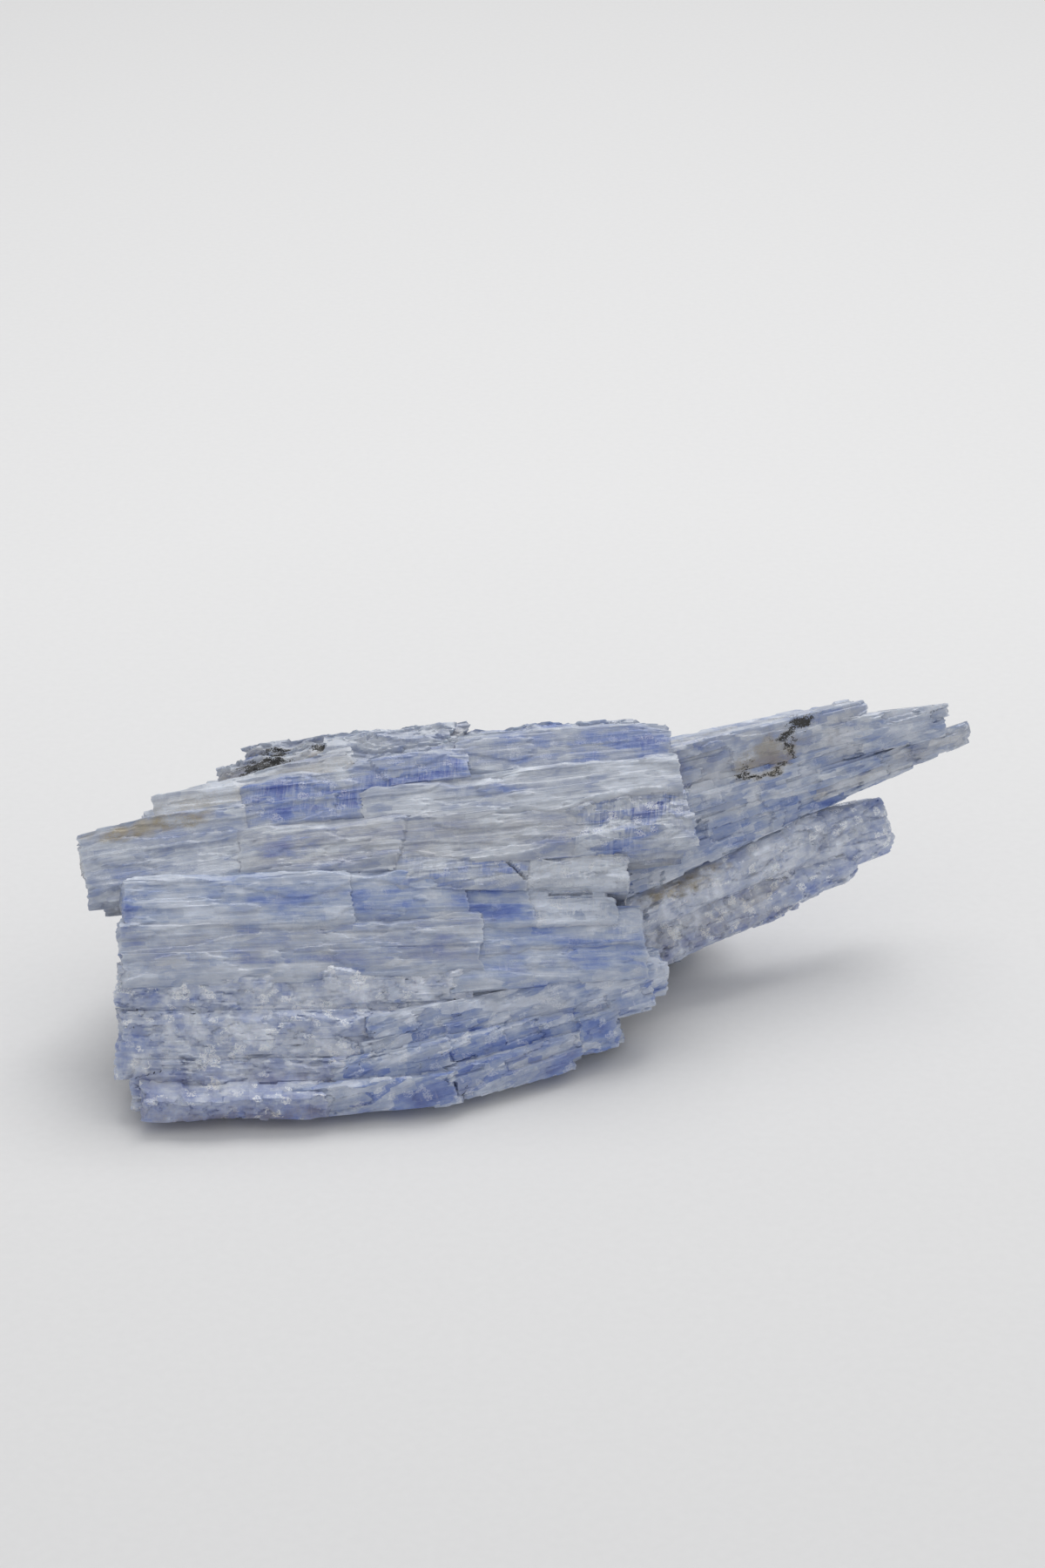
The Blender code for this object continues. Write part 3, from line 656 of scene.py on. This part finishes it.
def packet_slab(packet, slope, widths, lengths, stagger, free=False):
    """A packet: side-by-side face blades, broken across here and there, on a bed of two thick blades."""
    place, length = packet_place(packet, packet.get("slope", slope))
    width, depth = packet["width"], packet["depth"]
    nose, crown = packet.get("nose", 0.0), packet.get("crown", 0.0)
    skin = chance.uniform(*SKIN)
    margin = 0.0 if free else BED_MARGIN
    bed_ends = []
    for low, high in BED_HALVES:
        back, short = (chance.uniform(*BED_SETBACK) for _ in range(2))
        back += nose * (low + high) ** 2
        short += crown * (low + high) ** 2
        chance.uniform(0, FACE_STEP)  # this and the next two are drawn to keep in step with the solid
        leaning((length / 2, 0, -skin))
        end_skews(width, depth)
        bed_ends.append((back, short))
    lanes = []
    for low, high in shares(max(width), widths):
        middle = (low + high) / 2 - 0.5
        back, short = (chance.uniform(0, 1) ** 2 * stagger for _ in range(2))
        back += nose * (2 * middle) ** 2
        short += crown * (2 * middle) ** 2
        run, stretches = length - back - short, []
        for first, last in shares(run, lengths):
            step = chance.uniform(-FACE_STEP, FACE_STEP)
            stretch = run * (last - first) + (OVERLAP if last < 1 else 0)
            lean = leaning((stretch / 2, width[0] * middle, 0))
            skews = end_skews([part * (high - low) + OVERLAP for part in width], (skin, skin))
            from_start = back + run * first
            plane = (lean[2][2] * step + lean[2][3] - lean[2][0] * from_start, lean[2][0], lean[2][1])
            tone = cleave.normal(0.0, 0.05)
            stretches.append((from_start if first > 0 else -99, plane, skews[0][0], tone))
        lanes.append((low, high, back, short, stretches))
    half = [part / 2 + max(margin, OVERLAP / 2) for part in width]
    boxes = [(-half[at], half[at], -depth[at], 0.0) for at in (0, 1)]
    slab = dict(packet=packet, place=place, length=length, width=width, boxes=boxes, lanes=lanes, skin=skin)
    slab.update(bed_ends=bed_ends, open_backed=free, tone=cleave.normal(0.0, 0.02))
    slab.update(skirt=packet.get("skirt", FREE_SKIRT if free else SKIRT))
    return slab


front_slab = grown("front_slab", [packet_slab(packet, **FRONT_BLADES) for packet in FRONT_SLAB], PLATE_CUT)
front_slab.data.materials.append(kyanite_finish("kyanite_front", FRONT_TINTS, broken=1.3, blocky=0.22))
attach(front_slab, "root")
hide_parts("kyanite_cluster")

# The foot of the front. Under the slab the blades are crushed into short rough ends with painted glints, and
# lower down they lie flat again, hollowed out where they near the table.
FRONT_FOOT = (
    dict(start=(-46.4, -20.0, 12.4), end=(-4.0, -14.2, 10.5), width=(6.4, 5.4), depth=(6, 7), nose=2.0,
         blue=0.30, patches=((0, 6, -0.5, 0.5, "blue", 0.62), (21, 27, -0.3, 0.2, "blue", 0.2))),
    dict(start=(-46.8, -22.6, 8.2), end=(-14.5, -19.4, 7.6), width=(5.8, 4.6), depth=(7, 7), nose=2.4,
         blue=0.36, patches=((0, 5, -0.5, 0.5, "blue", 0.6), (14, 20, -0.1, 0.5, "blue", 0.2))),
    # The two lowest rows are bluer and greyed with ochre stain: partly their own greyish blue, partly
    # painted shade near the table.
    dict(start=(-44.4, -24.8, 4.3), end=(-18.6, -23.6, 4.1), width=(4.0, 4.0), depth=(8, 8), nose=1.6,
         blue=0.68, stain=0.35, patches=((0, 9, -0.5, 0.5, "blue", 0.8),)),
    dict(slope=98, start=(-43.4, -27.5, 1.7), end=(-21.0, -26.9, 1.6), width=(3.2, 3.2), depth=(9, 8),
         blue=0.80, stain=0.5, skirt=0.1),
)
FOOT_BLADES = dict(slope=66, widths=(2.2, 4.4), lengths=(8, 18), stagger=1.8)
ROUGH_CUT = dict(
    cell=(0.26, 0.17, 0.5), ragged=0.8, fray=0.6, step=0.10, levels=1.6, terrace=(9, 3.4), crumble=0.8,
    ledge=0.4, undercut=5.0, flakes=((3.2, 1.3, 0.08, 0.2),)
)
# The foot's tints are lighter than the slab's, partly as painted light that makes up for the little lamp
# light its steep faces get.
FOOT_TINTS = ((0.66, 0.70, 0.80), (0.42, 0.48, 0.66), (0.22, 0.29, 0.57), (0.07, 0.13, 0.42))
front_foot = grown("front_foot", [packet_slab(packet, **FOOT_BLADES) for packet in FRONT_FOOT], ROUGH_CUT)
front_foot.data.materials.append(kyanite_finish("kyanite_foot", FOOT_TINTS, broken=3.4))
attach(front_foot, "root")
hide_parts("kyanite_cluster")

# The blades that rise to the right across the foot, long, narrow and bluer than the slab, ending in
# a rounded pale tip.
FRONT_RISE = (
    dict(slope=80, start=(-25.4, -26.8, 1.9), end=(-6.0, -23.6, 2.1), width=(3.8, 4.2), depth=(9, 8),
         crown=0.8, blue=0.68, stain=0.15, skirt=0.2),
    dict(slope=80, start=(-9.0, -24.2, 2.1), end=(8.6, -14.2, 3.2), width=(4.2, 3.4), depth=(9, 7),
         blue=0.68, stain=0.15, skirt=0.2),
    dict(start=(-22.0, -24.3, 3.9), end=(-7.0, -21.2, 5.6), width=(3.6, 3.8), depth=(8, 7), blue=0.68),
    dict(start=(-9.6, -21.4, 5.3), end=(13.6, -10.7, 5.3), width=(3.8, 3.6), depth=(8, 7), blue=0.6,
         patches=((5, 13, -0.2, 0.3, "blue", 0.85),)),
    dict(start=(-19.0, -21.5, 7.4), end=(15.8, -8.6, 8.8), width=(4.2, 4.4), depth=(7, 7), blue=0.44,
         patches=((8, 16, -0.3, 0.2, "blue", 0.8), (26, 31, -0.4, 0.4, "blue", 0.2))),
    dict(start=(-16.0, -17.0, 9.6), end=(15.2, -7.4, 12.0), width=(4.0, 3.6), depth=(7, 6), blue=0.32),
    dict(start=(6.0, -10.6, 9.6), end=(17.8, -7.4, 9.6), width=(4.0, 3.8), depth=(5, 4), crown=1.6,
         blue=0.24, dome=0.7),
)
RISE_BLADES = dict(slope=68, widths=(1.6, 3.6), lengths=(10, 24), stagger=2.4)
RISE_VEER = -6  # degrees that the grain turns away from the packets
RISE_CUT = dict(
    ROUGH_CUT, cell=(0.30, 0.13, 0.5), step=0.16, levels=2.4, terrace=(13, 2.2), crumble=0.0,
    flakes=((4.4, 1.5, 0.30, 0.28), (2.2, 0.8, 0.10, 0.25))
)
RISE_TINTS = ((0.56, 0.61, 0.73), (0.34, 0.41, 0.59), (0.16, 0.24, 0.54), (0.05, 0.11, 0.42))
rise_slabs = [packet_slab(packet, **RISE_BLADES) for packet in FRONT_RISE]
front_rise = grown("front_rise", rise_slabs, RISE_CUT, RISE_VEER)
front_rise.data.materials.append(kyanite_finish("kyanite_rise", RISE_TINTS, broken=1.8, blocky=0.45))
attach(front_rise, "root")
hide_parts("kyanite_cluster")

# The top slab. Its plates lie flatter. The left one stands out over the end, grey with an ochre film
# along its ridge; then come a blue banded blade with pale partings, a pale wedge and fibrous blocks.
TOP_SLAB = (
    dict(start=(-51.6, -5.2, 22.0), end=(-30.0, -2.4, 25.0), width=(7.8, 8.2), depth=(4.5, 6), nose=2.6,
         blue=0.44, patches=((0, 17, 0.30, 0.62, "stain", 0.9), (0, 1.2, -0.5, 0.5, "stain", 0.6))),
    dict(start=(-33.0, -4.6, 23.5), end=(8.0, -0.3, 25.1), width=(5.8, 5.0), depth=(6, 6), blue=0.36,
         stain=0.25, patches=((2, 10, -0.3, 0.3, "blue", 0.72), (11, 20, -0.5, 0.5, "stain", 0.25))),
    dict(start=(-43.6, 0.2, 25.9), end=(-18.6, 6.0, 30.2), width=(3.0, 3.8), depth=(6, 6), nose=2.4,
         blue=0.2, stain=0.5),
    dict(start=(-33.0, 0.5, 27.0), end=(-5.4, 5.2, 28.9), width=(6.2, 6.4), depth=(6, 6), blue=0.70,
         fibre=0.45, patches=((3, 7, -0.5, 0.1, "blue", 0.92), (9, 16, -0.3, 0.1, "blue", 0.84),
                              (17, 21, -0.2, 0.1, "blue", 0.8))),
    dict(start=(-15.6, -5.2, 22.4), end=(1.2, -3.6, 22), width=(4.4, 4.4), depth=(5, 5), nose=3.2,
         crown=1.4, blue=0.52, fibre=0.5, cracks=(((9.6, 1.2), (13.1, 0.9), (15.9, -1.9)),)),
    dict(start=(-20.0, 0.5, 26.4), end=(19.4, 5.6, 29.3), width=(4.6, 4.2), depth=(6, 6), blue=0.32,
         patches=((29, 38, -0.5, 0.6, "blue", 0.0), (12, 22, -0.1, 0.4, "blue", 0.55))),
    dict(start=(-1.6, -2.8, 22.9), end=(13.4, -1.8, 22.2), width=(6.2, 6.0), depth=(6, 6), blue=0.18,
         fibre=0.9, crumble=0.5, patches=((0, 13, -0.2, 0.2, "stain", 0.2),)),
    dict(start=(3.4, 0.0, 25.0), end=(20.2, 2.1, 25.9), width=(6.6, 6.2), depth=(6, 6), blue=0.36,
         fibre=1.0, crumble=0.4, patches=((8, 14, -0.3, 0.3, "blue", 0.7),)),
    dict(start=(-9.0, 7.9, 30.0), end=(18.2, 10.5, 30.4), width=(4.6, 4.8), depth=(6, 6), blue=0.64,
         fibre=0.2),
)
TOP_BLADES = dict(slope=36, widths=(2.8, 5.6), lengths=(10, 24), stagger=1.4)
TOP_TINTS = ((0.53, 0.57, 0.65), (0.33, 0.38, 0.52), (0.16, 0.24, 0.54), (0.05, 0.10, 0.41))
top_slab = grown("top_slab", [packet_slab(packet, **TOP_BLADES) for packet in TOP_SLAB], PLATE_CUT)
top_slab.data.materials.append(kyanite_finish("kyanite_top", TOP_TINTS, broken=1.4, blocky=0.22))
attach(top_slab, "root")
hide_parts("kyanite_cluster")

# The lump behind the ridge. Short rough blades heaped on the back, with a crust of black and ochre
# where the rock it grew in has weathered away.
BACK_LUMP = (
    dict(start=(-37.4, 7.2, 25.8), end=(-20.0, 9.6, 29.4), width=(5.0, 6.0), depth=(8, 8), nose=1.6,
         crown=1.6, blue=0.4, stain=0.5,
         patches=((4, 12, -0.5, 0.6, "soot", 1.0), (13, 20, -0.4, 0.6, "soot", 1.0))),
    dict(start=(-34.0, 10.4, 28.0), end=(-5.0, 12.8, 30.2), width=(4.2, 5.4), depth=(8, 8), crown=2.0,
         blue=0.3, stain=0.4, patches=((0, 12, -0.6, 0.4, "soot", 1.0), (15, 20, -0.5, 0.0, "soot", 0.9))),
    dict(start=(-25.0, 8.8, 29.9), end=(-6.0, 11.0, 30.5), width=(5.4, 5.2), depth=(7, 7), crown=1.6,
         blue=0.44),
    dict(start=(-8.0, 12.2, 29.2), end=(15.4, 13.6, 30.4), width=(4.4, 4.4), depth=(7, 7), blue=0.5),
)
LUMP_BLADES = dict(slope=24, widths=(2.2, 4.4), lengths=(8, 18), stagger=2.0)
back_lump = grown("back_lump", [packet_slab(packet, **LUMP_BLADES) for packet in BACK_LUMP], ROUGH_CUT)
back_lump.data.materials.append(bpy.data.materials["kyanite_top"])
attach(back_lump, "root")
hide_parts("kyanite_cluster")

# The wing. A thin steep plate of long blades that leaves the mass at the right and reaches out and
# back to a splintered tip, with a ring of ochre and black film on its face.
WING = (
    dict(start=(9.0, 5.6, 26.6), end=(43.0, 25.4, 27.0), width=(5.8, 4.8), depth=(9, 4), crown=0.8,
         blue=0.50, stain=0.2,
         patches=((0, 14, -0.7, 0.7, "blue", 0.9), (0, 15, -0.7, 0.7, "stain", 0.4),
                  (18.4, 28.4, -0.6, 0.4, "stain", 0.7), (19.4, 27.8, -0.75, 0.3, "ring", 1.0),
                  (26, 32, 0.1, 0.6, "soot", 1.0))),
    dict(start=(34.0, 20.0, 25.9), end=(54.0, 28.8, 25.7), width=(5.4, 3.4), depth=(4.5, 2.6), crown=1.8,
         blue=0.46),
    dict(start=(8.0, 2.6, 21.6), end=(47.0, 25.4, 23.9), width=(5.8, 3.6), depth=(9, 4), blue=0.48,
         patches=((0, 13, -0.7, 0.7, "blue", 0.9), (20, 28.6, 0.15, 1.1, "ring", 0.9),
                  (15.5, 23, 0.0, 0.4, "blue", 0.2))),
    dict(start=(9.0, 0.6, 17.0), end=(48.6, 25.8, 22.0), width=(5.8, 2.2), depth=(9, 3), blue=0.62),
    dict(start=(33.0, 16.3, 20.6), end=(56.0, 29.5, 23.7), width=(2.8, 2.2), depth=(3.6, 1.8), blue=0.4,
         stain=0.35),
)
WING_BLADES = dict(slope=67, widths=(2.4, 4.8), lengths=(12, 28), stagger=2.2, free=True)
# The wing's tints are a little lighter than the slab's, partly as painted light that makes up for the little
# lamp light its steep faces get.
WING_TINTS = ((0.60, 0.64, 0.73), (0.38, 0.44, 0.59), (0.20, 0.28, 0.54), (0.06, 0.12, 0.40))
wing = grown("wing", [packet_slab(packet, **WING_BLADES) for packet in WING], RISE_CUT)
wing.data.materials.append(kyanite_finish("kyanite_wing", WING_TINTS, broken=1.6, blocky=0.34))
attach(wing, "root")
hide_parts("kyanite_cluster")

# The low spray. A shorter bundle under the wing, with a rounded rough end, glassy with painted glints on its
# broken faces, and an olive film in the crease where it leaves the mass.
LOW_SPRAY = (
    dict(start=(11.0, 0.0, 11.8), end=(38.6, 18.0, 15.9), width=(5.0, 5.4), depth=(9, 5), crown=1.0,
         blue=0.36, dome=0.8, patches=((4, 16, 0.0, 0.5, "stain", 0.9),)),
    dict(start=(12.0, -1.0, 7.4), end=(34.6, 13.4, 11.0), width=(4.6, 5.6), depth=(9, 6), crown=1.0,
         blue=0.42, stain=0.3, dome=0.8),
    dict(start=(25.0, 10.4, 13.8), end=(46.4, 21.8, 14.6), width=(8.4, 6.6), depth=(6, 4.4), crown=2.6,
         blue=0.30, dome=1.0),
    dict(start=(24.0, 7.0, 9.0), end=(41.6, 17.4, 11.6), width=(4.2, 3.2), depth=(7, 4), crown=1.0,
         blue=0.48, dome=0.8),
)
SPRAY_BLADES = dict(slope=70, widths=(2.4, 4.8), lengths=(8, 18), stagger=1.8, free=True)
low_spray = grown("low_spray", [packet_slab(packet, **SPRAY_BLADES) for packet in LOW_SPRAY], ROUGH_CUT)
low_spray.data.materials.append(bpy.data.materials["kyanite_foot"])
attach(low_spray, "root")
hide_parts("kyanite_cluster")

# The back of the mass. Below a brow, wider blades step down from the ridge to the table in three
# courses, and more of them line the back of the wing.
BACK_BROW = (
    dict(start=(-37.0, 13.6, 24.6), end=(-6.0, 16.6, 27.2), width=(6.0, 7.0), depth=(7, 7), blue=0.36),
    dict(start=(-9.0, 17.2, 27.0), end=(19.0, 18.6, 26.6), width=(7.0, 6.0), depth=(7, 7), blue=0.5),
    dict(start=(-45.6, 6.4, 22.4), end=(-24.0, 12.6, 23.6), width=(7.0, 8.0), depth=(6, 7), blue=0.34,
         stain=0.4),
)
BACK_WALL = (
    dict(start=(-41.6, 15.0, 18.0), end=(-4.0, 20.4, 20.4), width=(7.0, 8.0), depth=(8, 8), blue=0.44),
    dict(start=(-7.0, 21.0, 20.4), end=(23.0, 22.0, 19.4), width=(8.0, 7.0), depth=(8, 8), blue=0.58),
    dict(start=(-39.6, 17.4, 11.0), end=(-1.0, 22.6, 12.6), width=(8.0, 8.6), depth=(8, 8), blue=0.38,
         patches=((16, 26, -0.3, 0.3, "blue", 0.75),)),
    dict(start=(-5.0, 23.4, 12.4), end=(25.0, 23.4, 11.4), width=(8.4, 7.6), depth=(8, 8), blue=0.44,
         fibre=0.4),
    dict(start=(-34.0, 19.0, 3.6), end=(4.0, 24.0, 4.6), width=(8.0, 8.0), depth=(9, 9), blue=0.48),
    dict(start=(0.0, 24.2, 4.4), end=(21.0, 23.4, 4.4), width=(8.0, 6.6), depth=(9, 9), blue=0.4, stain=0.4),
)
WING_BACK = (
    dict(start=(10.0, 17.6, 21.8), end=(42.0, 29.4, 25.8), width=(7.6, 4.6), depth=(6, 3), blue=0.46),
    dict(start=(12.0, 16.6, 17.8), end=(41.0, 27.0, 21.6), width=(6.0, 3.6), depth=(6, 3), blue=0.56),
    dict(start=(14.0, 14.6, 12.0), end=(36.0, 22.0, 14.4), width=(6.6, 6.0), depth=(6, 4), blue=0.4),
)
BROW_BLADES = dict(slope=-42, widths=(2.8, 5.6), lengths=(11, 28), stagger=2.6)
WALL_BLADES = dict(slope=-72, widths=(3.4, 6.6), lengths=(12, 32), stagger=2.6)
WING_BACK_BLADES = dict(slope=-104, widths=(2.4, 5.0), lengths=(12, 30), stagger=2.6, free=True)
BACK_CUT = dict(RISE_CUT, cell=(0.5, 0.22, 0.7), undercut=0.0)
back_slabs = [packet_slab(packet, **BROW_BLADES) for packet in BACK_BROW]
back_slabs += [packet_slab(packet, **WALL_BLADES) for packet in BACK_WALL]
back_slabs += [packet_slab(packet, **WING_BACK_BLADES) for packet in WING_BACK]
back = grown("back_of_mass", back_slabs, BACK_CUT)
back.data.materials.append(bpy.data.materials["kyanite_wing"])
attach(back, "root")
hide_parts("kyanite_cluster")

# The underside. Blades lying along the table, worn and broken down to a common flat on which the
# specimen rests.
UNDERSIDE = (
    dict(start=(-41.0, -16.4, 0.3), end=(-4.0, -12.0, -0.3), width=(9.0, 8.0), depth=(5, 5), blue=0.4),
    dict(start=(-39.4, -6.6, 1.4), end=(8.0, -2.6, 0.8), width=(11.0, 11.0), depth=(7, 7), blue=0.44),
    dict(start=(-37.0, 5.2, 0.5), end=(14.0, 7.6, -0.3), width=(12.0, 10.6), depth=(7, 7), blue=0.38,
         stain=0.4),
    dict(start=(-33.0, 15.0, 0.2), end=(20.0, 17.4, -0.3), width=(9.0, 9.6), depth=(7, 7), blue=0.42),
)
UNDERSIDE_BLADES = dict(slope=178, widths=(5.0, 8.0), lengths=(14, 34), stagger=2.6)
WORN_CUT = dict(
    PLATE_CUT, cell=(0.8, 0.34, 0.7), ragged=0.9, fray=0.8, step=0.12, levels=2.4, terrace=(12, 3),
    flakes=((9, 2.6, 0.12, 0.2),)
)
underside = grown("underside", [packet_slab(packet, **UNDERSIDE_BLADES) for packet in UNDERSIDE], WORN_CUT)
underside.data.materials.append(bpy.data.materials["kyanite_heart"])
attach(underside, "root")
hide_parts("kyanite_cluster")

# The room. A seamless pale paper sweep under the specimen with a painted pool of light on it, a wide soft
# light overhead and behind, and a camera in front, looking down on it. Nothing here belongs to the specimen.
PAPER_REACH = 4.0  # metres, as are the lengths below up to the camera's
PAPER_SHADES = ((0.86, 0.855, 0.85, 1.0), (0.82, 0.815, 0.81, 1.0))
PAPER_TOOTH = 900.0  # how often the paper's grain changes in a metre
LIGHT_POOL_SHIFT = (0.0, -0.07, 0.0)  # brings the centre of the painted pool of light on the paper to the origin
LIGHT_POOL_FALL = (0.10, 0.50)  # distances from that place at which the painted light starts and ends to fall off
# how dark the paper is painted outside the pool of light
LIGHT_POOL_DIMMED = 0.8
ROOM_COLOUR = (0.97, 0.98, 1.0, 1.0)
ROOM_STRENGTH = 0.57
WINDOW_PLACE = Vector((0.18, 0.85, 1.25))
WINDOW_AIM = Vector((0.0, 0.0, 0.01))
WINDOW_SIDE = 1.0
WINDOW_WATTS = 11.4
CAMERA_PLACE = Vector((0.0, -385.15, 209.7))  # millimetres, in the same frame as CENTRE
CAMERA_PITCH = 25.0  # degrees below the horizon
CAMERA_LENS = 85.0  # millimetres, as is the sensor
CAMERA_SENSOR = 36.0
CAMERA_NEAR = 0.01  # metres

paper = bmesh.new()
bmesh.ops.create_grid(paper, x_segments=1, y_segments=1, size=PAPER_REACH)
paper_mesh = bpy.data.meshes.new("paper_sweep")
paper.to_mesh(paper_mesh)
paper.free()
sweep = bpy.data.objects.new("paper_sweep", paper_mesh)
bpy.context.scene.collection.objects.link(sweep)

matt_paper = bpy.data.materials.new("matt_paper")
matt_paper.use_nodes = True
paper_tree = matt_paper.node_tree
paper_shader = paper_tree.nodes["Principled BSDF"]
paper_shader.inputs["Roughness"].default_value = 0.9
paper_shader.inputs["Specular IOR Level"].default_value = 0.1
paper_place = node(paper_tree, "ShaderNodeTexCoord").outputs["Object"]
tooth = node(paper_tree, "ShaderNodeTexNoise", {"Vector": paper_place, "Scale": PAPER_TOOTH, "Detail": 3.0})
shades = {"Factor": tooth.outputs["Fac"], "A": PAPER_SHADES[0], "B": PAPER_SHADES[1]}
tint = node(paper_tree, "ShaderNodeMix", shades, data_type="RGBA")
# The paper's colour is painted brightest just behind the specimen and darker away from it: a painted pool of
# light.
light_pool_spot = node(paper_tree, "ShaderNodeMapping", {"Vector": paper_place, "Location": LIGHT_POOL_SHIFT})
distance = node(paper_tree, "ShaderNodeVectorMath", {0: light_pool_spot.outputs["Vector"]}, operation="LENGTH")
light_pool_falloff = {"Value": distance.outputs["Value"], "From Min": LIGHT_POOL_FALL[0], "From Max": LIGHT_POOL_FALL[1]}
light_pool_falloff.update({"To Min": 1.0, "To Max": LIGHT_POOL_DIMMED})
painted_light_pool = node(paper_tree, "ShaderNodeMapRange", light_pool_falloff).outputs["Result"]
paper_with_light_pool = node(paper_tree, "ShaderNodeVectorMath", {0: tint.outputs["Result"], 1: painted_light_pool}, operation="MULTIPLY")
paper_tree.links.new(paper_with_light_pool.outputs["Vector"], paper_shader.inputs["Base Color"])
paper_mesh.materials.append(matt_paper)

room = bpy.data.worlds.new("pale_room")
room.use_nodes = True
room.node_tree.nodes["Background"].inputs["Color"].default_value = ROOM_COLOUR
room.node_tree.nodes["Background"].inputs["Strength"].default_value = ROOM_STRENGTH
bpy.context.scene.world = room

window = bpy.data.lights.new("window_above", "AREA")
window.size = WINDOW_SIDE
window.energy = WINDOW_WATTS
lamp = bpy.data.objects.new("window_above", window)
lamp.location = WINDOW_PLACE
lamp.rotation_euler = (WINDOW_AIM - WINDOW_PLACE).to_track_quat("-Z", "Y").to_euler()
bpy.context.scene.collection.objects.link(lamp)

eye = bpy.data.cameras.new("eye")
eye.lens = CAMERA_LENS
eye.sensor_width = CAMERA_SENSOR
eye.clip_start = CAMERA_NEAR
camera = bpy.data.objects.new("eye", eye)
camera.location = (CAMERA_PLACE - CENTRE) * MM
camera.rotation_euler = (math.radians(90.0 - CAMERA_PITCH), 0.0, 0.0)
bpy.context.scene.collection.objects.link(camera)
bpy.context.scene.camera = camera
bpy.context.scene.view_settings.view_transform = "Standard"
